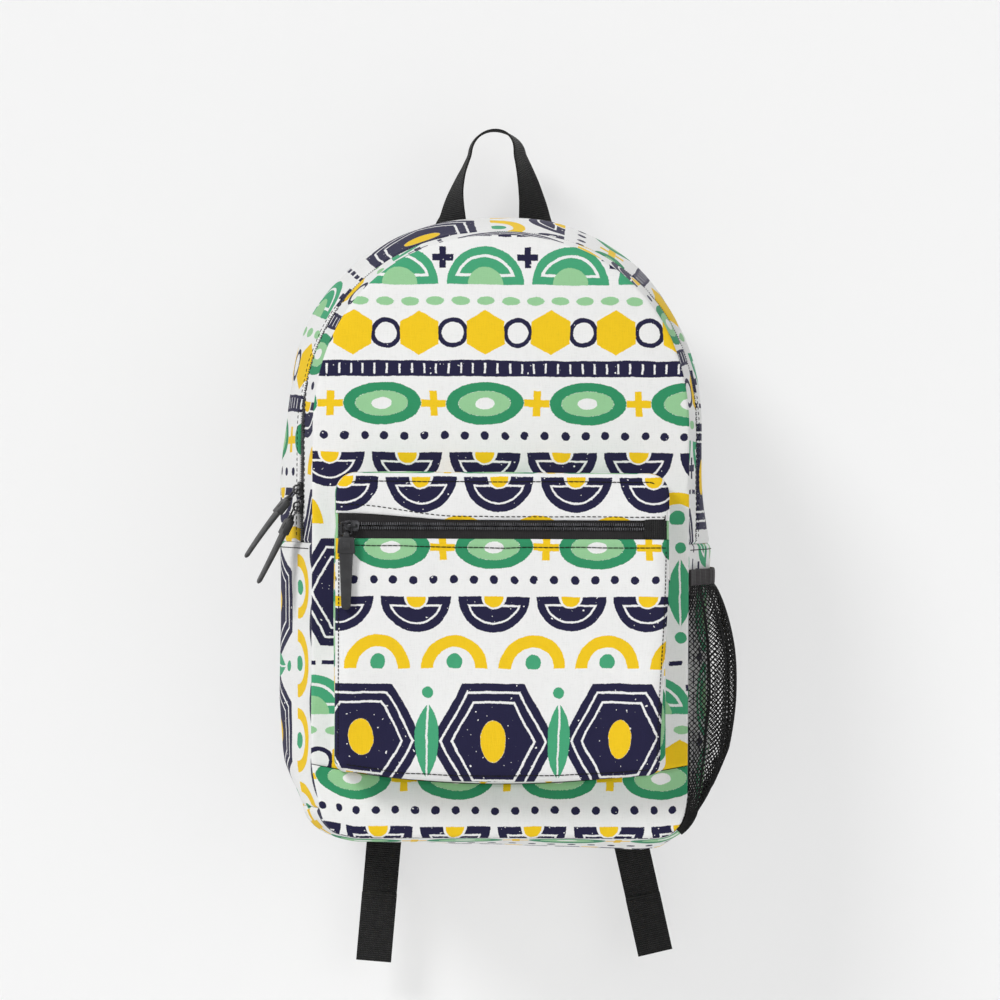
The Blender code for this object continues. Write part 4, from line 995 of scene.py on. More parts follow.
def make_front():
    outline = front_outline()
    pucker_seed, _, _, fade = FOLDS["front"]

    def outer(x, z):
        far = edge_distance(stack(x, z), outline)
        ripples = np.clip(far / fade, 0, 1) * front_folds(x, z) + puckers(stack(x, z, 0.0), far, pucker_seed)
        return front_y(x, z) + seam_dip(far) - ripples

    centre = np.array([0.0, (TOP_Z + base_seam(0.0)) / 2])
    made = fan_shell("front_cloth", outline, centre, near_shares(1.7, 46), outer,
                     lambda x, z: front_y(x, z) + SHELL, looks["print"], CUTS["front"])
    wear(made, ["front_panel"])
    polygon_area(outline)


def make_base():
    """The band along the bottom of the front."""
    columns = spread(-PANEL_HALF_WIDTH, PANEL_HALF_WIDTH, 220)
    low = bottom_edge(columns, PANEL_HALF_WIDTH, BOTTOM_Z, CORNER_RADIUS)
    x, z, edge = panel_grid(columns, base_seam(columns) - GAP, low, spread(0, 1, 30))
    y = front_y(x, z)
    outer = stack(x, y - slack(stack(x, z, 0.0), edge_distance(stack(x, z), edge), "base"), z)
    made = shell("base_cloth", outer, stack(x, y + SHELL, z), looks["print"], stack(x, z) + CUTS["base"])
    wear(made, ["base_front_panel"])
    polygon_area(edge)


def gusset_panel(name, node, route, shares, piece, turned):
    """A strip of the gusset. shares is depth shares, one row for all or one row for each step."""
    route, along = resample(route, GUSSET_STEP)
    v = np.broadcast_to(shares, (len(route), np.shape(shares)[-1]))
    inner, normals = gusset_surface(route[:, None], v, -SHELL)
    depth, way = v * GUSSET_DEPTH, along[:, None] + 0 * v
    low, high = depth.min(axis=1, keepdims=True), depth.max(axis=1, keepdims=True)
    far = np.minimum(np.minimum(depth - low, high - depth), np.minimum(way, along[-1] - way))
    outer = inner + normals * (SHELL + slack(inner, far, piece))[..., None]
    uvs = stack(depth, way) if turned else stack(way, -depth)
    made = shell(name, outer, inner, looks["print"], uvs + CUTS[piece])
    wear(made, [node])
    float((high - low).mean()) * BULGE_LENGTH


def slit_half(z):
    """Half the slit's width: wide where the sliders run on the left, narrow elsewhere."""
    return SLIT_CLOSED + (SLIT_OPEN - SLIT_CLOSED) * ease(SLIT_OPEN_Z + SLIT_EASE, SLIT_OPEN_Z, z)


def strip_shares(route, front):
    """Depth shares of a gusset strip at each step of its route, up to the zip's slit."""
    even = resample(route, GUSSET_STEP)[0]
    half = np.where(even[:, 0] < 0, slit_half(even[:, 1]), SLIT_CLOSED)[:, None] / GUSSET_DEPTH
    if front:
        return (ZIP_V - half) * eased_shares(16)
    near = ZIP_V + half
    return near + (1 - near) * eased_shares(34)


def make_gusset():
    arch = zip_route(0.0)
    for piece, front in (("gusset_front", True), ("gusset_back", False)):
        gusset_panel(f"{piece}_cloth", f"{piece}_strip", arch, strip_shares(arch, front), piece, True)
    whole = eased_shares(60)
    for side, word in SIDES.items():
        route = side_route(side, ZIP_END_Z - GAP, CORNER_Z, 90)
        gusset_panel(f"side_cloth_{word}", f"side_gusset_{word}", route, whole, word, False)
    gusset_panel("bottom_cloth", "bottom_panel", bottom_route(), whole, "bottom", False)


def sewn_on_gusset(name, route, v, far, piece, share=STITCH_SHARE):
    """Stitches over a piece of the gusset, at a distance from its seam."""
    inner, normals = gusset_surface(route, v, -SHELL)
    off = SHELL + slack(inner, np.full(len(v), far), piece)
    made = stitches(name, inner + normals * off[:, None], normals, looks["thread"], share=share)
    wear(made)


def make_gusset_stitches():
    """The topstitching on both sides of the zip's slit and across its two ends."""
    whole, _ = resample(zip_route(-0.004), 0.002)
    for side, word in SIDES.items():
        route = whole[(whole[:, 0] * side > 0) & (whole[:, 1] < STITCH_TOP[side])]
        half = slit_half(route[:, 1]) if side < 0 else np.full(len(route), SLIT_CLOSED)
        for strip, way in (("front", -1), ("back", 1)):
            v = ZIP_V + way * (half + SLIT_SEAM) / GUSSET_DEPTH
            sewn_on_gusset(f"zip_stitches_{strip}_{word}", route, v, SLIT_SEAM, f"gusset_{strip}")
    for side, word in SIDES.items():
        place = side_route(side, ZIP_END_Z - SIDE_SEAM, ZIP_END_Z - SIDE_SEAM, 60)
        sewn_on_gusset(f"side_stitches_{word}", place, spread(0.07, 0.94, 60), SIDE_SEAM - GAP, word, 0.9)


# Main zip

MAIN_TOOTH_PITCH = 0.0016
# A tooth's sides, its half width as a share of the pitch, its middle's height as a share of the chain's, and
# its rings: the way out from the chain's middle, and the size
TOOTH_SIDES = 6
TOOTH_HALF = 0.31
TOOTH_MIDDLE = 0.45
TOOTH_LENGTH = COIL_WIDTH / 2 + 0.0004
TOOTH_RINGS = ((0.0003, 0.5), (0.0006, 1.0), (TOOTH_LENGTH * 0.7, 1.0), (TOOTH_LENGTH - 0.0003, 0.75),
               (TOOTH_LENGTH, 0.3))


def make_main_zip():
    route, along = resample(zip_route(0.010), 0.004)
    for word, low, high in (("front", -ZIP_TAPE_HALF, -GAP), ("back", GAP, ZIP_TAPE_HALF)):
        v = ZIP_V + spread(low, high, 6)[None] / GUSSET_DEPTH
        outer, inner = (gusset_surface(route[:, None], v, -SHELL - GAP - thick)[0] for thick in (0, TAPE))
        uvs = stack(v * GUSSET_DEPTH, along[:, None])
        made = shell(f"main_tape_{word}", outer, inner, looks["tape"], uvs)
        wear(made, [f"main_zip_{word}_tape"])
    route, _ = resample(zip_route(-0.002), MAIN_TOOTH_PITCH)
    points, normals = gusset_surface(route, np.full(len(route), ZIP_V), -SHELL)
    made = zip_teeth("main_teeth", points, normals, MAIN_TOOTH_PITCH)
    wear(made, ["main_zip_coil"])


def zip_teeth(name, path, normals, pitch):
    """Two rows of rounded teeth that meet along a path."""
    along = unit(np.gradient(path, axis=0))
    normals = np.broadcast_to(normals, path.shape)
    side = np.cross(along, normals)
    angle = circle(TOOTH_SIDES)[:, None]
    points, faces = [], []
    for k in range(len(path)):
        ring = np.cos(angle) * along[k] * pitch * TOOTH_HALF + np.sin(angle) * normals[k] * COIL_HEIGHT / 2
        for way in SIDES:
            middle = path[k] + along[k] * (pitch / 4) * way + normals[k] * COIL_HEIGHT * TOOTH_MIDDLE
            faces += capped_faces(len(TOOTH_RINGS), TOOTH_SIDES, len(points) * TOOTH_SIDES)
            for reach, size in TOOTH_RINGS:
                points.append(middle + side[k] * way * reach + size * ring)
    return mesh_object(name, np.concatenate(points), faces, looks["coil"])


# Sliders, bails and pulls, in a frame of their own: X across the zip, Y out of it, Z along it

BLOCK_LOW = LUG_REACH + BLOCK_LENGTH
BOSS_HALF = 0.0026


def frame_of(point, out, along):
    out, along = Vector(out).normalized(), Vector(along).normalized()
    turn = Matrix((out.cross(along), out, along)).transposed().to_4x4()
    return Matrix.Translation(point) @ turn


def lean_by(degrees):
    return Matrix.Rotation(math.radians(degrees), 4, "X")


def placed(matrix, points):
    points = np.asarray(points, float)
    matrix = np.array(matrix)
    return points @ matrix[:3, :3].T + matrix[:3, 3]


def rounded_plan(half_x, half_z, waist, steps=6):
    """A slider's outline from above: waisted ends with round corners."""
    x, z = rounded(circle(8 * steps), 0.42)
    x, z = x * half_x, z * half_z
    return x * (1 - waist * (np.abs(z) / half_z) ** 3), z


def plate(name, plan, levels, matrix, look):
    """A plate with rounded rims: its outline at several heights, each shrunk a little."""
    x, z = plan
    sections = [placed(matrix, stack(x * size, height, z * size)) for height, size in levels]
    return tube(name, sections, look)


def round_bar(name, path, width, thick, look, matrix):
    """A bar of rounded section along a path in the local YZ plane, as wide as given along X."""
    path = np.asarray(path, float)
    x, y = rounded(circle(12), 0.6)
    x, y = (x * width / 2)[:, None], (y * thick / 2)[:, None]
    sections = []
    for point, way in zip(path, unit(np.gradient(path, axis=0))):
        out = np.array([0, -way[2], way[1]])
        sections.append(placed(matrix, point + x * ACROSS + y * out))
    return tube(name, sections, look)


def make_slider(name, node, body, matrix):
    """A slider: a waisted roof, a flank on each side of the chain and a crown that holds the bail."""
    half, reach = SLIDER_WIDTH / 2, SLIDER_LENGTH / 2
    channel = COIL_WIDTH / 2 + CHANNEL_SLACK
    roof = [(CHANNEL_ROOF - 0.0001, 0.97), (CHANNEL_ROOF + 0.0002, 1.0), (SLIDER_TOP - 0.0005, 1.0),
            (SLIDER_TOP - 0.0002, 0.96), (SLIDER_TOP, 0.88)]
    walls = [(GAP, 0.9), (GAP + 0.0003, 1.0), (CHANNEL_ROOF + 0.0004, 1.0)]
    parts = [plate(name, rounded_plan(half, reach, 0.16), roof, matrix, looks["metal"])]
    for side in SIDES:
        plan = rounded_plan((half - channel) / 2, reach * 0.86, 0.0, 4)
        place = matrix @ Matrix.Translation((side * (half + channel) / 2, 0, 0))
        parts.append(plate(name + "_flank", plan, walls, place, looks["metal"]))
    peak = SLIDER_TOP + CROWN_HEIGHT - CROWN_WALL / 2
    end = CROWN_LENGTH / 2 - CROWN_WALL / 2
    path = [(0, SLIDER_TOP - 0.0003, -end - 0.0008), (0, SLIDER_TOP + 0.0008, -end),
            (0, peak - 0.0012, -end + 0.0002), (0, peak - 0.0003, -end + 0.0011), (0, peak, -end + 0.0023)]
    path += [(0, y, -z) for _, y, z in path[::-1]]
    parts.append(round_bar(name + "_crown", path, CROWN_WIDTH, CROWN_WALL, looks["metal"], matrix))
    return wear(joined(name, parts), [node], body)


def ring_path(steps):
    """The bail's middle line in its XZ plane from its top bar's middle, hanging down."""
    corner = 2 * WIRE_RADIUS
    points = []
    for sx, sz, start in ((1, 0, 90), (1, -1, 0), (-1, -1, -90), (-1, 0, 180)):
        cx = sx * (BAIL_WIDTH / 2 - corner)
        cz = -corner if sz == 0 else -BAIL_LENGTH + corner
        for angle in np.radians(spread(start, start - 90, steps)):
            points.append((cx + corner * math.cos(angle), 0, cz + corner * math.sin(angle)))
    return np.array(points)


def make_bail(name, node, body, matrix, side_hung):
    """A bail of wire, hung by the middle of its top bar or by the middle of a side."""
    points = ring_path(8)
    if side_hung:
        points = points + np.array([-BAIL_WIDTH / 2, 0, BAIL_LENGTH / 2])
    along = unit(np.roll(points, -1, axis=0) - np.roll(points, 1, axis=0))
    out = np.cross(BACKWARD, along)
    angle = circle(12)[:, None]
    ring = np.cos(angle) * out[:, None] + np.sin(angle) * BACKWARD
    sections = placed(matrix, points[:, None] + WIRE_RADIUS * ring)
    return wear(tube(name, sections, looks["metal"], closed=True), [node], body)


def pull_ring(centre, lean, width, thick, power):
    """One section of the pull, square to its way."""
    x, y = rounded(circle(28), power)
    out = np.array([0, math.cos(lean), math.sin(lean)])
    return centre + (x * width / 2)[:, None] * ACROSS + (y * thick / 2)[:, None] * out


# The grip's round tip: where it starts and how long it is, as shares of the grip, and the least shares of
# the grip's width and thickness that it keeps
TIP_FROM = 0.93
TIP_LENGTH = 0.0705
TIP_LEAST = (0.12, 0.3)


def pull_stations():
    """The pull's sections from its eye to its tip: depth, width, thickness, and the power of its rounding."""
    stations = [
        (-LUG_RADIUS + 0.0001, 0.0012, 0.0010, 0.8),
        (-LUG_RADIUS + 0.0005, 0.0034, 0.0028, 0.6),
        (-0.0004, 0.0042, 0.0040, 0.5),
        (LUG_REACH - 0.0002, 0.0042, 0.0042, 0.5),
        (LUG_REACH, 0.0092, 0.0036, 0.4),
        (LUG_REACH + 0.0004, 0.0106, 0.0046, 0.34),
        (LUG_REACH + 0.0011, BLOCK_WIDTH, BLOCK_THICK, 0.3),
        (LUG_REACH + 0.0030, BLOCK_WIDTH, BLOCK_THICK, 0.22),
        (BLOCK_LOW - 0.0007, BLOCK_WIDTH, BLOCK_THICK, 0.22),
        (BLOCK_LOW - 0.0003, 0.0109, 0.0047, 0.26),
        (BLOCK_LOW, 0.0098, 0.0040, 0.3),
        (BLOCK_LOW + 0.0003, GRIP_WIDTH, GRIP_THICK, 0.42),
    ]
    for share in list(spread(0.05, 0.9, 12)) + [0.94, 0.97, 0.99, 1.0]:
        tip = math.sqrt(max(0.0, 1 - (max(0.0, share - TIP_FROM) / TIP_LENGTH) ** 2))
        width = (GRIP_WIDTH + (GRIP_TIP_WIDTH - GRIP_WIDTH) * share) * max(tip, TIP_LEAST[0])
        thick = (GRIP_THICK + (GRIP_TIP_THICK - GRIP_THICK) * share) * max(tip, TIP_LEAST[1])
        stations.append((BLOCK_LOW + GRIP_LENGTH * share, width, thick, 0.45))
    return stations


def make_pull(name, node, body, matrix, bend, broad=1.0):
    """The moulded pull: a block round the bail's bar, a stepped collar and a tapered grip."""
    sections, centre, last = [], np.zeros(3), 0.0
    for depth, width, thick, power in pull_stations():
        lean = math.radians(bend) * max(0.0, depth - BLOCK_LOW) / GRIP_LENGTH
        centre = centre + (depth - last) * np.array([0, math.sin(lean), -math.cos(lean)])
        last = depth
        size = 1 + (broad - 1) * ease(LUG_REACH + 0.003, LUG_REACH + 0.006, depth)
        sections.append(placed(matrix, pull_ring(centre, lean, width * size, thick, power)))
    parts = [tube(name, sections, looks["rubber"])]
    plan, levels = rounded_plan(BOSS_HALF, BOSS_HALF, 0.0, 4), [(0.0, 1.0), (0.00025, 0.97), (0.00035, 0.9)]
    for face in SIDES:
        turn = Matrix.Translation((0, face * BLOCK_THICK / 2, -LUG_REACH - BLOCK_LENGTH / 2))
        if face < 0:
            turn = turn @ Matrix.Rotation(math.pi, 4, "Z")
        parts.append(plate(name + "_boss", plan, levels, matrix @ turn, looks["rubber"]))
    return wear(joined(name, parts), [node], body)


def make_main_sliders():
    """The main zip's two sliders, one above the other, each with its bail and pull as they hang."""
    upper = ("upper", 0.0, MAIN_BAIL_LEAN, UPPER_PULL_LEAN, UPPER_GRIP_BEND)
    lower = ("lower", SLIDER_PITCH, LOWER_PULL_LEAN, LOWER_PULL_LEAN, LOWER_GRIP_BEND)
    for word, drop, bail_lean, lean, bend in (upper, lower):
        place = np.array([-PANEL_HALF_WIDTH, TOP_Z - UPPER_SLIDER_DROP - drop, -1.0, 0.0])
        point, out = gusset_surface(place, np.array(ZIP_V), -SHELL)
        zip_frame = frame_of(Vector(point), out, (0, 0, 1))
        make_slider(f"{word}_slider_metal", f"main_slider_{word}", f"{word}_slider", zip_frame)
        hinge = zip_frame @ Matrix.Translation((0, BAIL_HEIGHT, 0)) @ lean_by(bail_lean)
        make_bail(f"{word}_bail_wire", f"main_bail_{word}", f"{word}_bail", hinge, False)
        low_bar = hinge @ Matrix.Translation((0, 0, -BAIL_LENGTH))
        hang = Matrix.Translation(low_bar.translation) @ zip_frame.to_3x3().to_4x4() @ lean_by(lean)
        make_pull(f"{word}_pull_grip", f"main_pull_{word}", f"{word}_pull", hang, bend)


def make_pocket_slider():
    slider_x = -POCKET_HALF_WIDTH + POCKET_SLIDER_INSET + SLIDER_LENGTH / 2
    zip_frame = frame_of(Vector((slider_x, POCKET_BACK_Y, POCKET_ZIP_Z)), (0, -1, 0), (1, 0, 0))
    make_slider("pocket_slider_metal", "pocket_slider", "front_slider", zip_frame)
    hang = frame_of(Vector((slider_x, POCKET_BACK_Y - BAIL_HEIGHT, POCKET_ZIP_Z)), (0, -1, 0), (0, 0, 1))
    drop = BAIL_LENGTH / 2 - CROWN_WIDTH / 2 - 2 * WIRE_RADIUS
    ring = hang @ Matrix.Translation((0, 0, -drop)) @ Matrix.Rotation(math.pi, 4, "Z")
    make_bail("pocket_bail_wire", "pocket_bail", "front_bail", ring, True)
    low_bar = hang @ Matrix.Translation((BAIL_WIDTH / 2, 0, -drop - BAIL_LENGTH / 2))
    make_pull("pocket_pull_grip", "pocket_pull", "front_pull", low_bar, 0.0, FRONT_PULL_BROAD)


# Front pocket: its teeth, its tapes and the end tab's fold, and how far its stitches are from the seams

POCKET_TOOTH_PITCH = 0.00155
TAPE_WAVE = 0.00025
END_TAB_FOLD = 0.0006
THREAD_PROUD = 0.0002
POCKET_TOP_SEAM = 0.0056
POCKET_SIDE_SEAM = 0.0022
POCKET_LOW_SEAM = 0.0042


def pocket_grid(name, node, piece, columns, tops, floors, rows):
    """A pocket panel between two edges, given as levels over its columns."""
    x, z, edge = panel_grid(columns, tops, floors, eased_shares(rows))
    far = edge_distance(stack(x, z), edge[::3])
    base = pocket_y(x, z)
    outer = stack(x, base - slack(stack(x, z, 0.0), far, piece), z)
    made = shell(name, outer, stack(x, base + POCKET_CLOTH, z), looks["print"], stack(x, z) + CUTS[piece])
    wear(made, [node])


def flap_sag(x):
    """How far the top band's lower edge hangs over the zip, away from the slider's end."""
    return FLAP_SAG * ease(-0.108, -0.030, x)


def pocket_columns(count):
    """Places across the pocket, closer together at its sides."""
    turn = spread(-math.pi / 2, math.pi / 2, count)
    return POCKET_HALF_WIDTH * (0.35 * np.sin(turn) + 0.65 * turn / (math.pi / 2))


def make_pocket():
    x = pocket_columns(190)
    floors = bottom_edge(x, POCKET_HALF_WIDTH, POCKET_BOTTOM_Z, POCKET_BOTTOM_RADIUS)
    pocket_grid("pocket_front_cloth", "pocket_front_panel", "pocket", x, SLOT_LOW_Z + 0 * x, floors, 110)
    tops = POCKET_TOP_Z - bottom_edge(x, POCKET_HALF_WIDTH, 0.0, POCKET_TOP_RADIUS)
    pocket_grid("pocket_band_cloth", "pocket_top_band", "band", x, tops, SLOT_TOP_Z - flap_sag(x), 30)
    make_pocket_sides()
    make_pocket_zip()
    make_end_tab()
    make_pocket_stitches()


def pocket_outline(step):
    """The pocket's edge, counter-clockwise, with outward normals."""
    parts = []
    corners = ((1, 1, POCKET_TOP_RADIUS), (-1, 1, POCKET_TOP_RADIUS), (-1, -1, POCKET_BOTTOM_RADIUS),
               (1, -1, POCKET_BOTTOM_RADIUS))
    for k, (side, up, radius) in enumerate(corners):
        level = POCKET_TOP_Z - radius if up > 0 else POCKET_BOTTOM_Z + radius
        angle = math.pi / 2 * k + spread(0, math.pi / 2, 12)
        c, s = np.cos(angle), np.sin(angle)
        parts.append(stack(side * (POCKET_HALF_WIDTH - radius) + radius * c, level + radius * s, c, s))
    route = np.concatenate(parts + [parts[0][:1]])
    even, along = resample(route, step)
    return even[:-1], along[:-1]


def make_pocket_sides():
    """The cloth round the pocket's edge, from its front back to the bag."""
    route, along = pocket_outline(0.0021)
    x, z, nx, nz = (route[:, i:i + 1] for i in range(4))
    inner_x, inner_z = x - nx * POCKET_CLOTH, z - nz * POCKET_CLOTH
    start = np.maximum(pocket_y(x, z), pocket_y(inner_x, inner_z)) + POCKET_CLOTH + GAP
    end = np.minimum(front_y(x, z), front_y(inner_x, inner_z)) - GAP
    share = spread(0, 1, 22)
    y = start * (1 - share) + end * share
    outer = stack(x, y, z)
    off = slack(outer, np.minimum(y - start, end - y), "pocket_side")
    outer = outer + off[..., None] * stack(nx, 0.0, nz)
    section = np.concatenate([outer, stack(inner_x, y, inner_z)[:, ::-1]], axis=1)
    uvs = stack(along[:, None], -y)
    uvs = np.concatenate([uvs, uvs[:, ::-1]], axis=1) + CUTS["pocket_side"]
    made = tube("pocket_side_cloth", section, looks["print"], closed=True, uvs=uvs)
    wear(made, ["pocket_gusset"])


def make_pocket_zip():
    half = POCKET_ZIP_SLOT / 2 + POCKET_TAPE_TUCK
    reach = POCKET_HALF_WIDTH - POCKET_CLOTH - GAP
    x = spread(-reach, reach, 120)[:, None]
    for word, low, high in (("upper", GAP, half), ("lower", -half, -GAP)):
        z = POCKET_ZIP_Z + spread(low, high, 8)
        wave = TAPE_WAVE * soft_noise(stack(x, z, 0.0), 0.012, 51)
        y = pocket_y(x, POCKET_ZIP_Z) + POCKET_CLOTH + GAP - wave - TAPE_WAVE
        outer, inner = stack(x, y, z), stack(x, y + TAPE, z)
        made = shell(f"pocket_tape_{word}", outer, inner, looks["tape"], stack(z, x))
        wear(made, [f"pocket_zip_{word}_tape"])
    stop = POCKET_HALF_WIDTH - END_TAB_LENGTH - GAP
    x = np.arange(POCKET_COIL_END - POCKET_HALF_WIDTH, stop, POCKET_TOOTH_PITCH)
    made = zip_teeth("pocket_teeth", stack(x, POCKET_BACK_Y, POCKET_ZIP_Z), FRONTWARD, POCKET_TOOTH_PITCH)
    wear(made, ["pocket_zip_coil"])


def make_end_tab():
    """The folded tab over the right end of the pocket's zip."""
    x = spread(POCKET_HALF_WIDTH - END_TAB_LENGTH, POCKET_HALF_WIDTH - 0.15 * END_TAB_LENGTH, 30)[:, None]
    z = POCKET_ZIP_Z + spread(-END_TAB_WIDTH / 2, END_TAB_WIDTH / 2, 24)
    fold = END_TAB_FOLD * (1 - np.sqrt(np.clip((x - x.min()) / 0.0015, 0, 1)))
    dip = 0.5 * seam_dip(np.minimum(z - z.min(), z.max() - z))
    y = pocket_y(x, POCKET_ZIP_Z) + POCKET_CLOTH - END_TAB_THICK + fold + dip
    made = shell("pocket_end_tab", stack(x, y, z), stack(x, POCKET_BACK_Y, z), looks["webbing"], stack(z, x))
    wear(made, ["pocket_zip_end_tab"])


def pocket_run(name, x, z, inset, piece, share=STITCH_SHARE, wobble=0.00025, pitch=STITCH_PITCH):
    """Stitches over the pocket's front, on the cloth of one of its pieces."""
    x, z = np.broadcast_arrays(np.asarray(x, float), np.asarray(z, float))
    z = z + wobble * soft_noise(stack(x, z, 0.0), 0.018, 61)
    far = np.minimum(inset, POCKET_HALF_WIDTH - np.abs(x))
    y = pocket_y(x, z) - slack(stack(x, z, 0.0), far, piece) - THREAD_PROUD
    wear(stitches(name, stack(x, y, z), FRONTWARD, looks["thread"], pitch, share))


def make_pocket_stitches():
    side = POCKET_HALF_WIDTH - POCKET_SIDE_SEAM
    x = spread(-side, side, 160)
    top = POCKET_TOP_Z - POCKET_TOP_SEAM - bottom_edge(x, side, 0.0, POCKET_TOP_RADIUS)
    sag = flap_sag(x)
    lift = 0.0025 + 0.0035 * (1 - sag / FLAP_SAG)
    pocket_run("pocket_stitches_top", x[6:-6], top[6:-6], POCKET_TOP_SEAM, "band", 0.97)
    pocket_run("pocket_stitches_over_zip", x, SLOT_TOP_Z - sag + lift, lift, "band")
    under = SLOT_LOW_Z - 0.0046 - 0.3 * sag
    pocket_run("pocket_stitches_under_zip", x, under, 0.0052, "pocket", 0.97, 0.0006)
    low = POCKET_BOTTOM_Z + POCKET_LOW_SEAM
    pocket_run("pocket_stitches_bottom", x[4:-4], low, POCKET_LOW_SEAM, "pocket", 0.92)
    z = spread(SLOT_LOW_Z - 0.008, POCKET_BOTTOM_Z + 0.010, 90)
    for way, word in SIDES.items():
        pocket_run(f"pocket_stitches_{word}", way * side, z, POCKET_SIDE_SEAM, "pocket", 0.72, pitch=0.0027)


# Net side pocket

NET_WIDE = 32
NET_HIGH = 45
STRAND = 0.00062
NET_SKEW = 0.90
NET_STEEP = 0.42
NET_FULLER = 1.04
# The net's unevenness: how far it goes, the size of its features and its seed, at metres across and down
NET_WAVE = 0.0014
NET_WAVE_SIZE = 0.012
NET_SEED = 71
NET_SPAN = (0.13, 0.05)
# The net's creases: how far back each is, how wide and how deep
NET_CREASES = ((0.21, 0.040, 0.0062), (0.40, 0.045, 0.0030), (0.62, 0.055, 0.0040))
CREASE_SWAY = 0.02
# The net band: how far it gathers, the size of the gathers, their seed, and how round its edges are
BAND_GATHER = 0.0005
BAND_GATHER_SIZE = 0.0045
BAND_SEED = 73
BAND_ROUND = 0.0005
BAND_LENGTH = 0.135


def net_points(s, v, offset):
    """The net's place at shares down it and back along it; its last stretch goes round the lower corner."""
    straight = NET_TOP_Z - NET_BAND - GAP - CORNER_Z
    run = s * (straight + NET_TUCK)
    turn = np.maximum(run - straight, 0) / CORNER_RADIUS
    s = np.minimum(run / straight, 1)
    z = CORNER_Z + straight * (1 - s) - CORNER_RADIUS * np.sin(turn)
    x = PANEL_HALF_WIDTH - CORNER_RADIUS * (1 - np.cos(turn))
    hang = np.sin(np.pi * np.clip(s, 0, 1) ** NET_SKEW)
    across = np.sin(np.pi * np.clip(v, 0, 1))
    steep = across ** (NET_ROUNDING + (NET_STEEP - NET_ROUNDING) * hang ** 0.5)
    down = NET_SWELL * hang ** NET_ROUNDING + NET_MOUTH * (1 - s) ** 2
    wave = soft_noise(stack(v * NET_SPAN[0], s * NET_SPAN[1], 0.0), NET_WAVE_SIZE, NET_SEED)
    out = down * steep * NET_FULLER + NET_WAVE * hang * wave
    for place, width, depth in NET_CREASES:
        bend = place + CREASE_SWAY * np.sin(5 * s + 9 * place)
        out = out - depth * hang ** 0.6 * np.exp(-((v - bend) / width) ** 2)
    route = stack(x, z, np.cos(turn), -np.sin(turn))
    return gusset_surface(route, v, GAP + offset + np.maximum(out, 0))[0]


def net_column_shares(count):
    """Depth shares that lie at even steps along the net's widest row."""
    v = spread(0, 1, 2000)
    reach = way_along(net_points(0 * v + 0.5, v, 0.0))
    return np.interp(spread(0, reach[-1], count), reach, v)


def make_net():
    """Diagonal strands between lattice points: a net of diamonds, open between its strands."""
    rows, columns = 2 * NET_HIGH, net_column_shares(2 * NET_WIDE)
    starts, ends = [], []
    for i in range(rows):
        for j in range(i % 2, len(columns), 2):
            for k in (j - 1, j + 1):
                if 0 <= k < len(columns):
                    starts.append((i / rows, columns[j]))
                    ends.append(((i + 1) / rows, columns[k]))
    starts, ends = np.array(starts).T, np.array(ends).T
    a, b = (net_points(*p, STRAND) for p in (starts, ends))
    out = unit(net_points(*starts, 0.004) - a)
    along = unit(b - a)
    side = unit(np.cross(along, out))
    a, b = a - along * STRAND * 0.6, b + along * STRAND * 0.6
    ring = [side * STRAND, out * STRAND * 0.8, -side * STRAND, -out * STRAND * 0.8]
    sections = np.stack([np.stack([p + r for r in ring], 1) for p in (a, b)], 1)
    faces = np.concatenate([grid_faces(2, 4, wrap=True), [(3, 2, 1, 0), (4, 5, 6, 7)]])
    faces = (faces[None] + 8 * np.arange(len(a))[:, None, None]).reshape(-1, 4)
    made = mesh_object("net_pocket", sections, faces.tolist(), looks["net"])
    wear(made, ["mesh_pocket"])


def make_net_band():
    """The elastic band along the net's mouth, slightly gathered."""
    v = spread(0, 1, 160)[None]
    share = spread(0, 1, 14)[:, None]
    z = NET_TOP_Z - share * NET_BAND + 0 * v
    route = stack(PANEL_HALF_WIDTH, z, 1.0, 0.0)
    mouth = NET_MOUTH * np.sin(np.pi * v) ** NET_ROUNDING
    gather = BAND_GATHER * soft_noise(stack(v * BAND_LENGTH, z * 0.3, 0.0), BAND_GATHER_SIZE, BAND_SEED)
    round_off = BAND_ROUND * np.abs(2 * share - 1) ** 6
    outer = gusset_surface(route, v, GAP + BAND_THICK - round_off + gather + mouth)[0]
    inner = gusset_surface(route, v, GAP + round_off * 0.5 + mouth)[0]
    made = shell("net_band", outer, inner, looks["elastic"], stack(v * 0.14, z))
    wear(made, ["mesh_pocket_band"])
    GUSSET_DEPTH * 1.05


# Webbing, straps and back

# Sides of a ribbon's section, and the box stitches' width and distance from the webbing's end
RIBBON_SIDES = 20
BOX_WIDTH = WEBBING_WIDTH * 0.82
BOX_INSET = 0.002
# How far the tails wave and how fast, in radians a metre
TAIL_WAVE = 0.0010
TAIL_WAVES = 26
# The tails' folded ends: how much wider and further forward they are, how far below their tops they are
# sewn, and half the length that is sewn
FOLD_WIDER = 0.0004
FOLD_LEAN = 0.25 * (WEBBING + GAP)
FOLD_SEWN = 0.0035
FOLD_SEWN_HALF = 0.0105
# The strap: how square and how round its crown is, and how thin its ends are and over what length
STRAP_SQUARE = 3.2
STRAP_ROUNDED = 0.86
STRAP_TUCK = 0.45
STRAP_TUCK_LENGTH = 0.012
# Its channels' place and half width, as shares of its half width, and their depth as a share of its crown
STRAP_CHANNEL = 0.45
STRAP_CHANNEL_HALF = 0.05
STRAP_CHANNEL_DEPTH = 0.10
# How far in from its edges the pad ends, the bindings lie and the stitches run
STRAP_PAD_INSET = 0.0009
STRAP_BINDING_INSET = 0.0016
STRAP_SEAM_INSET = 0.0050
BINDING_SIZE = (0.0052, 0.0038)
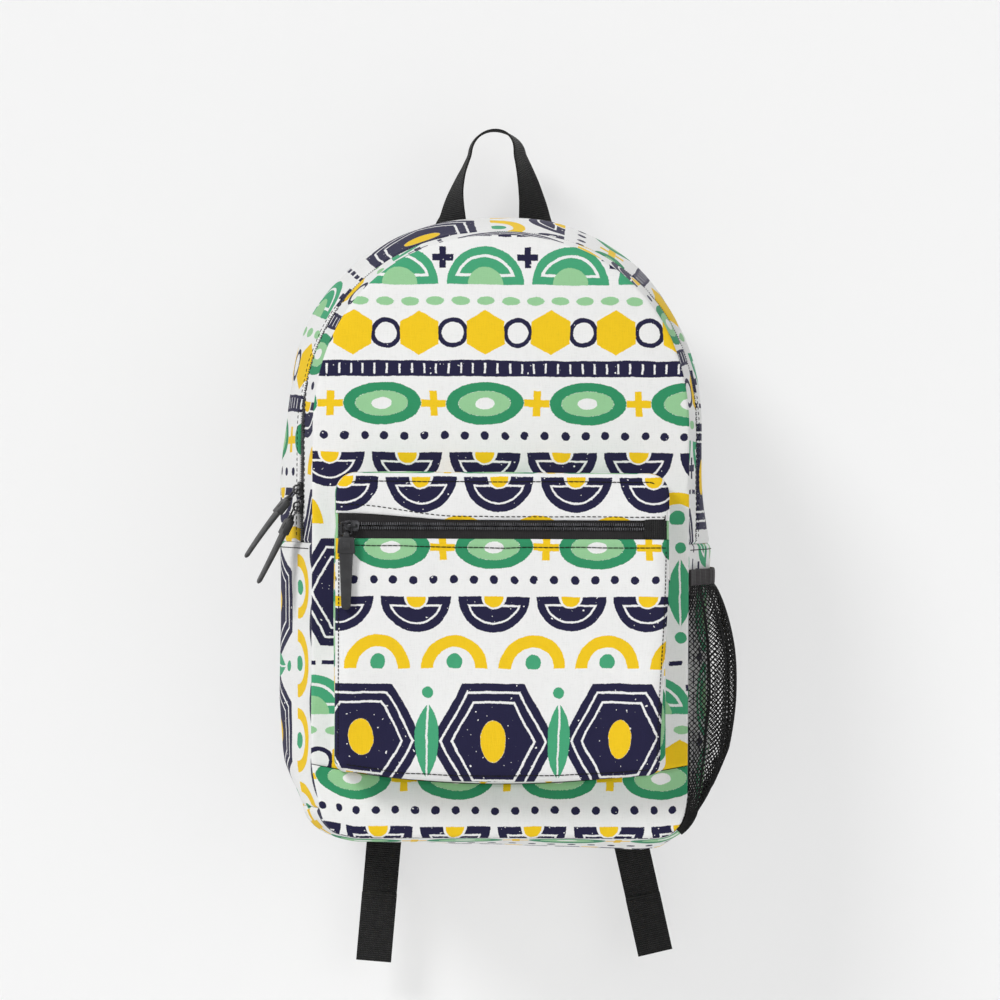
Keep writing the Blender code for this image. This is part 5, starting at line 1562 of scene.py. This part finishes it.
# The back: its rim's depth and width, and its channels' place, half width and depth
BACK_RIM = 0.0022
BACK_RIM_WIDTH = 0.007
BACK_CHANNEL_X = 0.032
BACK_CHANNEL_HALF = 0.0030
BACK_CHANNEL = 0.0016
BACK_SLACK = 0.0004


def smooth_path(points, step, reach):
    """Even points along a path, each the mean of its neighbours within a reach, ends kept."""
    points = np.asarray(points, float)
    length = way_along(points[:, :3])
    at = spread(0, length[-1], max(4, round(length[-1] / step)))
    even = values_at(at, length, points)
    for _ in range(max(1, round(reach / step))):
        even[1:-1] = (even[:-2] + 2 * even[1:-1] + even[2:]) / 4
    return even, at


def ribbon(name, path, reach, across, width, thick, look, corner=0.35):
    """Webbing along a path; across, width and thick are one for all or one for each point."""
    along = unit(np.gradient(path, axis=0))
    side = unit(across - np.sum(across * along, -1, keepdims=True) * along)
    x, y = rounded(circle(RIBBON_SIDES) + math.pi / RIBBON_SIDES, corner)
    x, y = (value * np.reshape(size, (-1, 1)) / 2 for value, size in ((x, width), (y, thick)))
    return swept(name, path, reach, side, np.cross(along, side), x, y, look)


def make_grab_loop():
    """The grab loop's webbing, its legs turned as they hang, and the box stitches of its feet."""
    radius = LOOP_TOP_RADIUS + LOOP_THICK / 2
    centre_z = LOOP_THICK / 2 - radius
    foot_y = BACK_OUT + LOOP_THICK / 2
    back_top = TOP_Z + END_FLARE
    foot_z = back_top - LOOP_FOOT_LENGTH
    leave_z = back_top + LOOP_TWIST_RISE

    def half_loop(side):
        foot = stack(LOOP_FOOT_HALF, foot_y, spread(foot_z, leave_z, 8), 0.0)
        s = spread(0.1, 0.95, 24)
        x = LOOP_FOOT_HALF + (radius - LOOP_FOOT_HALF) * s + LOOP_BOW[side] * np.sin(math.pi * s)
        turn = table_value(LOOP_TWIST[side], s)
        leg = stack(x, foot_y * (1 - s), leave_z + (centre_z - leave_z) * s, turn)
        angle = spread(0, math.pi / 2, 18)
        last = LOOP_TWIST[side][-1][1]
        turn = last + (90.0 - last) * ease(0, math.pi / 2, angle)
        top = stack(radius * np.cos(angle), 0.0, centre_z + radius * np.sin(angle), turn)
        return np.concatenate([foot, leg, top])

    mirrored = half_loop(-1)[:-1][::-1] * np.array([-1, 1, 1, -1]) + np.array([0, 0, 0, 180.0])
    path, reach = smooth_path(np.concatenate([half_loop(1), mirrored]), 0.0012, 0.004)
    turn = np.radians(path[:, 3])
    across = stack(np.cos(turn), np.sin(turn), 0.0)
    thick = LOOP_THICK * 0.85
    made = ribbon("grab_loop_webbing", path[:, :3], reach, across, WEBBING_WIDTH, thick, looks["webbing"])
    wear(made, ["grab_loop"])
    face, low, high = foot_y + LOOP_THICK * 0.43, foot_z + BOX_INSET, back_top - BOX_INSET
    for side, word in SIDES.items():
        box_stitches(f"loop_stitches_{word}", side * LOOP_FOOT_HALF, face, low, high)


def box_stitches(name, x, y, low, high):
    """A sewn box with a cross in it, on a face towards +Y."""
    left, right = x - BOX_WIDTH / 2, x + BOX_WIDTH / 2
    box = [(left, low), (right, low), (right, high), (left, high), (left, low), (right, high)]
    parts = []
    for run in (box, [(left, high), (right, low)]):
        points = [(px, y, pz) for px, pz in run]
        parts.append(stitches(name, points, BACKWARD, looks["pale_thread"]))
    wear(joined(name, parts))


def strap_thick(share):
    thin = np.maximum(1 - ease(*STRAP_TOP_TAPER, share), ease(*STRAP_LOW_TAPER, share))
    return STRAP_THICK + (STRAP_END_THICK - STRAP_THICK) * thin


def strap_frame(side, steps):
    """The strap's middle line, its directions across and outward, its width and thickness."""
    share = spread(0.0, 1.0, steps)
    top_x = side * STRAP_TOP_X
    x = top_x + (STRAP_LOW_X[side] - top_x) * ease(*STRAP_SPREAD, share)
    bow = STRAP_BOW * ease(*STRAP_BOW_OUT, share) + (STRAP_END_BOW - STRAP_BOW) * ease(*STRAP_BOW_IN, share)
    thick = strap_thick(share)
    path = stack(x, BACK_OUT + thick / 2 + bow, STRAP_TOP_Z - STRAP_DROP * share)
    along = unit(np.gradient(path, axis=0))
    across = unit(ACROSS - along * along[:, :1])
    width = STRAP_WIDTH + (STRAP_LOW_WIDTH - STRAP_WIDTH) * share
    return path, across, np.cross(along, across), width, thick


def make_strap(side, word):
    """A padded strap: crowned faces with two shallow channels, bound edges and stitches beside them."""
    path, across, up, width, thick = strap_frame(side, 190)
    reach = way_along(path)
    turn = circle(56)
    flat, s = rounded(turn, 0.7)[0], np.sin(turn)
    crown = np.clip(1 - np.abs(flat) ** STRAP_SQUARE, 0, 1) ** 0.5 * STRAP_ROUNDED
    crown = np.sign(s) * (crown + (1 - STRAP_ROUNDED) * (np.abs(s) > 1e-6))
    channels = np.minimum(np.abs(np.abs(flat) - STRAP_CHANNEL) / STRAP_CHANNEL_HALF, 1.0)
    crown = crown * (1 - STRAP_CHANNEL_DEPTH + STRAP_CHANNEL_DEPTH * channels)
    ends = np.minimum(reach, reach[-1] - reach)
    tuck = 1 - STRAP_TUCK + STRAP_TUCK * np.sqrt(np.clip(ends / STRAP_TUCK_LENGTH, 0, 1))
    x, y = flat * (width / 2 - STRAP_PAD_INSET)[:, None], crown * (thick / 2 * tuck)[:, None]
    made = swept(f"strap_pad_{word}", path, reach, across, up, x, y, looks["back_cloth"])
    wear(made, [f"shoulder_strap_{word}"])
    for way, edge in ((-1, "inner"), (1, "outer")):
        line = path + across * (way * (width / 2 - STRAP_BINDING_INSET))[:, None]
        bound = ribbon(f"strap_binding_{word}_{edge}", line, reach, up, *BINDING_SIZE, looks["binding"], 0.6)
        wear(bound)
        line = path + across * (way * (width / 2 - STRAP_SEAM_INSET))[:, None]
        rise = up * (thick * tuck * 0.42)[:, None]
        name = f"strap_stitches_{word}_{edge}"
        parts = [stitches(name, line + face * rise, face * up, looks["pale_thread"]) for face in SIDES]
        wear(joined(name, parts))


def make_lock_loop(side, word):
    """The short webbing that goes from the strap's end round the lock's top bar and back."""
    x = STRAP_LOW_X[side]
    out = STRAP_END_THICK / 2 + GAP + WEBBING / 2
    bar_low = LOCK_TOP_Z - LOCK_TOP_BAR - GAP - WEBBING / 2
    half = [(out, STRAP_LOW_Z + LOCK_LOOP_REACH * s) for s in (1.0, 0.5, 0.05)]
    half += [(out, bar_low + 0.0022), (out * 0.6, bar_low + 0.0004)]
    whole = half + [(0.0, bar_low)] + [(-y, z) for y, z in half[::-1]]
    path, reach = smooth_path([(x, LOCK_Y + y, z) for y, z in whole], 0.0007, 0.0007)
    name, thick = f"lock_loop_webbing_{word}", WEBBING * 0.9
    made = ribbon(name, path, reach, ACROSS, WEBBING_WIDTH, thick, looks["webbing"])
    wear(made, [f"lock_loop_{word}"])
    box_stitches(f"lock_stitches_{word}", x, LOCK_Y + out + WEBBING * 0.45, STRAP_LOW_Z + 2 * BOX_INSET,
                 STRAP_LOW_Z + LOCK_LOOP_REACH - BOX_INSET)


def make_webbing(side, word):
    """The adjusting webbing: from its anchor up through the lock and down again to its folded end."""
    x, sway = STRAP_LOW_X[side], TAIL_LEANS[side]
    middle_top = LOCK_TOP_Z - LOCK_TOP_BAR - LOCK_UPPER_SLOT
    middle_low = middle_top - LOCK_MIDDLE_BAR
    low_top = middle_low - LOCK_LOWER_SLOT
    low_end = low_top - LOCK_LOW_BAR
    tail_end = CREST_Z - TAIL_SHOWN[side]
    face = LOCK_THICK / 2 + GAP + WEBBING / 2
    tail_y = LOCK_Y - face
    pulled_y = tail_y - WEBBING - GAP
    over_y = LOCK_Y + face + GAP / 2
    lap_y = BACK_OUT + TAB_THICK + GAP + WEBBING / 2
    anchor_x, anchor_z = side * ANCHOR_X, BOTTOM_Z + ANCHOR_RISE
    lap_z = anchor_z + ANCHOR_LAP
    points = [(anchor_x, lap_y, anchor_z), (anchor_x, lap_y, lap_z),
              ((anchor_x + x) / 2, (lap_y + pulled_y) / 2, (lap_z + low_end) / 2)]
    points += [(x, y, z) for y, z in (
        (pulled_y, low_end - 0.003),
        (pulled_y, low_top),
        (pulled_y, middle_low),
        (pulled_y + 0.0006, middle_top - 0.0008),
        (LOCK_Y - 0.0022, middle_top + 0.0018),
        (LOCK_Y, middle_top + 0.0023),
        (over_y - 0.0001, middle_top + 0.0010),
        (over_y, middle_top - 0.0006),
        (over_y, middle_low - 0.0006),
        (over_y - 0.0009, middle_low - 0.0017),
        (LOCK_Y + 0.0002, middle_low - 0.0026),
        (LOCK_Y - 0.0010, middle_low - 0.0030),
        (tail_y, low_top + 0.0005),
        (tail_y, low_top - 0.0012),
        (tail_y, low_end),
    )]
    points.append((x + sway, tail_y, tail_end))
    path, reach = smooth_path(points, 0.0007, 0.0006)
    fold_z = tail_end + TAIL_FOLD[side]
    in_tail = reach > reach[-1] - (low_end - tail_end) - 0.001
    ramp = ease(fold_z + 0.0006, fold_z, path[:, 2]) * in_tail
    path[:, 1] -= FOLD_LEAN * ramp
    path[:, 1] += in_tail * TAIL_WAVE * np.sin((low_end - path[:, 2]) * TAIL_WAVES)
    thick = WEBBING + (WEBBING + GAP) * ramp
    width = WEBBING_WIDTH + FOLD_WIDER * (in_tail & (path[:, 2] < fold_z))
    made = ribbon(f"adjusting_webbing_{word}", path, reach, ACROSS, width, thick, looks["webbing"], 0.3)
    wear(made, [f"strap_webbing_{word}"])
    sewn_z = fold_z - FOLD_SEWN
    middle = x + sway * (low_end - sewn_z) / (low_end - tail_end)
    y = tail_y - WEBBING - 0.0004 + TAIL_WAVE * math.sin((low_end - fold_z) * TAIL_WAVES)
    ends = [(middle - FOLD_SEWN_HALF, y, sewn_z), (middle + FOLD_SEWN_HALF, y, sewn_z)]
    wear(stitches(f"tail_stitches_{word}", ends, FRONTWARD, looks["thread"], share=0.85))


def make_anchor_tab(side, word):
    """The cloth tab at a lower back corner, sewn over the webbing's end."""
    x = side * ANCHOR_X
    low = BOTTOM_Z + ANCHOR_RISE - TAB_FOOT
    u = spread(-1, 1, 44)[:, None]
    share = spread(0, 1, 30)[None]
    half = (TAB_WIDE + (TAB_NARROW - TAB_WIDE) * share) / 2
    px, pz = x + u * half, low + TAB_LENGTH * share + 0 * u
    far = np.minimum((1 - np.abs(u)) * half, np.minimum(share, 1 - share) * TAB_LENGTH)
    outer = stack(px, BACK_OUT + TAB_THICK - 0.8 * seam_dip(far), pz)
    made = shell(f"anchor_cloth_{word}", outer, stack(px, BACK_OUT, pz), looks["back_cloth"], stack(px, pz))
    wear(made, [f"anchor_tab_{word}"])
    lap = BOTTOM_Z + ANCHOR_RISE
    box_stitches(f"anchor_stitches_{word}", x, BACK_OUT + TAB_THICK + GAP + WEBBING, lap + BOX_INSET,
                 lap + ANCHOR_LAP - BOX_INSET)


def make_back():
    """The padded back: three long pads with sewn channels between them, and a bound edge."""
    left, right = side_route(-1, CORNER_Z, SPRING_Z, 90)[:-1], side_route(1, SPRING_Z, CORNER_Z, 90)[1:]
    corners = corner_route(1, 16)[1:], corner_route(-1, 16)[:0:-1]
    route = np.concatenate([left, arch_route(200), right, *corners])
    out = swell(np.ones(len(route)), route[:, 2])[0]
    outline = route[:, :2] + route[:, 2:] * out[:, None]
    outline = resample(np.concatenate([outline, outline[:1]]), 0.003)[0][:-1]

    def outer(x, z):
        far = edge_distance(stack(x, z), outline)
        rim = BACK_RIM * (1 - np.sqrt(1 - np.clip(1 - far / BACK_RIM_WIDTH, 0, 1) ** 2))
        channel = np.exp(-((np.abs(x) - BACK_CHANNEL_X) / BACK_CHANNEL_HALF) ** 2) * ease(0.012, 0.03, far)
        return BACK_PAD - rim - BACK_CHANNEL * channel - BACK_SLACK + folds(stack(x, z, 0.0), *BACK_FOLDS)

    centre = np.array([0.0, (TOP_Z + BOTTOM_Z) / 2])
    made = fan_shell("back_padding", outline, centre, near_shares(1.5, 70), outer, lambda x, z: 0 * x,
                     looks["back_cloth"], np.zeros(2))
    wear(made, ["back_panel"])


def make_carry():
    make_back()
    make_grab_loop()
    for side, word in SIDES.items():
        make_strap(side, word)
        make_lock_loop(side, word)
        make_webbing(side, word)
        make_anchor_tab(side, word)
        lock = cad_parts[f"ladder_lock_{word}"]
        lock.data.materials.clear()
        lock.data.materials.append(looks["plastic"])


# Stage, light and camera

WALL_Y = 0.046
FLOOR_Z = -0.80
STAGE_REACH = 6.0
BACKDROP = "F4F4F4"
BACKDROP_LIGHT = "F8F8F8"
BACKDROP_GLOW = 0.6
WORLD_STRENGTH = 0.30
# Name, degrees round from the front, degrees up, strength, softness in degrees
LAMPS = (("key", -44, 36, 1.92, 18), ("fill", 38, 14, 0.50, 40), ("back", 160, 35, 1.0, 30))
CAMERA_AZIMUTH = -2.5
CAMERA_RISE = 0.7
CAMERA_ROLL = 0.3
CAMERA_DISTANCE = 4.5
CAMERA_AIM = (0.0015, -0.08, -0.2640)
METRES_A_PIXEL = 0.0007074
SENSOR = 36.0
FRAME_PIXELS = 1000


def direction(azimuth, rise):
    """The way out to a place round the bag, in degrees round from the front and up."""
    a, e = math.radians(azimuth), math.radians(rise)
    return Vector((math.sin(a) * math.cos(e), -math.cos(a) * math.cos(e), math.sin(e)))


def mixed(tree, share, first, second):
    """A shader between those of two nodes."""
    node = tree.nodes.new("ShaderNodeMixShader")
    for place, value in zip(node.inputs, (share, first.outputs[0], second.outputs[0])):
        feed(tree, place, value)
    return node


def seen_ray(tree):
    """1 for what is seen, straight, mirrored or through something clear, and 0 for light."""
    rays = tree.nodes.new("ShaderNodeLightPath").outputs
    seen = Field(tree, rays["Is Camera Ray"]).most(Field(tree, rays["Is Glossy Ray"]))
    return seen.most(Field(tree, rays["Is Transmission Ray"]))


def stage_look(name, from_front):
    """A pale surface that keeps the object's shadow; light and the back view pass through a wall."""
    made, tree, shader = new_look(name, 1.0, 0.0)
    shader.inputs["Base Color"].default_value = linear(BACKDROP)
    glow = tree.nodes.new("ShaderNodeEmission")
    glow.inputs["Color"].default_value = linear(BACKDROP_LIGHT)
    seen, behind = seen_ray(tree), shader
    if from_front:
        back = Field(tree, tree.nodes.new("ShaderNodeNewGeometry").outputs["Backfacing"])
        seen, behind = seen * (-back + 1.0), tree.nodes.new("ShaderNodeBsdfTransparent")
    shown = mixed(tree, seen, behind, mixed(tree, BACKDROP_GLOW, shader, glow))
    tree.links.new(shown.outputs[0], tree.nodes["Material Output"].inputs[0])
    return made


def make_plane(name, corners, look):
    mesh = bpy.data.meshes.new(name)
    mesh.from_pydata(corners, [], [(0, 1, 2, 3)])
    mesh.materials.append(look)
    made = bpy.data.objects.new(name, mesh)
    bpy.context.scene.collection.objects.link(made)
    return made


def make_stage():
    far = STAGE_REACH
    wall = make_plane("wall", [(-far, WALL_Y, FLOOR_Z), (far, WALL_Y, FLOOR_Z), (far, WALL_Y, far),
                               (-far, WALL_Y, far)], stage_look("wall", True))
    floor = make_plane("floor", [(-far, -far, FLOOR_Z), (far, -far, FLOOR_Z), (far, far, FLOOR_Z),
                                 (-far, far, FLOOR_Z)], stage_look("floor", False))


def make_light():
    """A white surround that looks as pale as the wall, and soft lamps."""
    world = bpy.data.worlds.new("studio")
    bpy.context.scene.world = world
    world.use_nodes = True
    tree = world.node_tree
    light = tree.nodes["Background"]
    light.inputs["Color"].default_value = (1, 1, 1, 1)
    light.inputs["Strength"].default_value = WORLD_STRENGTH
    seen = tree.nodes.new("ShaderNodeBackground")
    seen.inputs["Color"].default_value = linear(BACKDROP)
    shown = mixed(tree, seen_ray(tree), light, seen)
    tree.links.new(shown.outputs[0], tree.nodes["World Output"].inputs[0])
    for name, azimuth, rise, strength, softness in LAMPS:
        data = bpy.data.lights.new(name, "SUN")
        data.energy = strength
        data.angle = math.radians(softness)
        lamp = bpy.data.objects.new(name, data)
        way = direction(azimuth, rise)
        lamp.rotation_mode = "QUATERNION"
        lamp.rotation_quaternion = way.to_track_quat("Z", "Y")
        lamp.location = way * 3
        bpy.context.scene.collection.objects.link(lamp)


def make_camera():
    data = bpy.data.cameras.new("camera")
    camera = bpy.data.objects.new("camera", data)
    bpy.context.scene.collection.objects.link(camera)
    back = direction(CAMERA_AZIMUTH, CAMERA_RISE)
    roll = Matrix.Rotation(math.radians(CAMERA_ROLL), 3, "Z")
    turn = (-back).to_track_quat("-Z", "Y").to_matrix() @ roll
    camera.matrix_world = Matrix.Translation(Vector(CAMERA_AIM) + back * CAMERA_DISTANCE) @ turn.to_4x4()
    data.sensor_width = SENSOR
    data.lens = SENSOR * CAMERA_DISTANCE / (METRES_A_PIXEL * FRAME_PIXELS)
    data.clip_end = 100
    bpy.context.scene.camera = camera


def main():
    make_camera()
    make_light()
    make_stage()
    make_front()
    make_base()
    make_gusset()
    make_gusset_stitches()
    make_main_zip()
    make_main_sliders()
    make_pocket()
    make_pocket_slider()
    make_net()
    make_net_band()
    make_carry()
    bpy.context.scene.view_settings.view_transform = "Standard"


main()
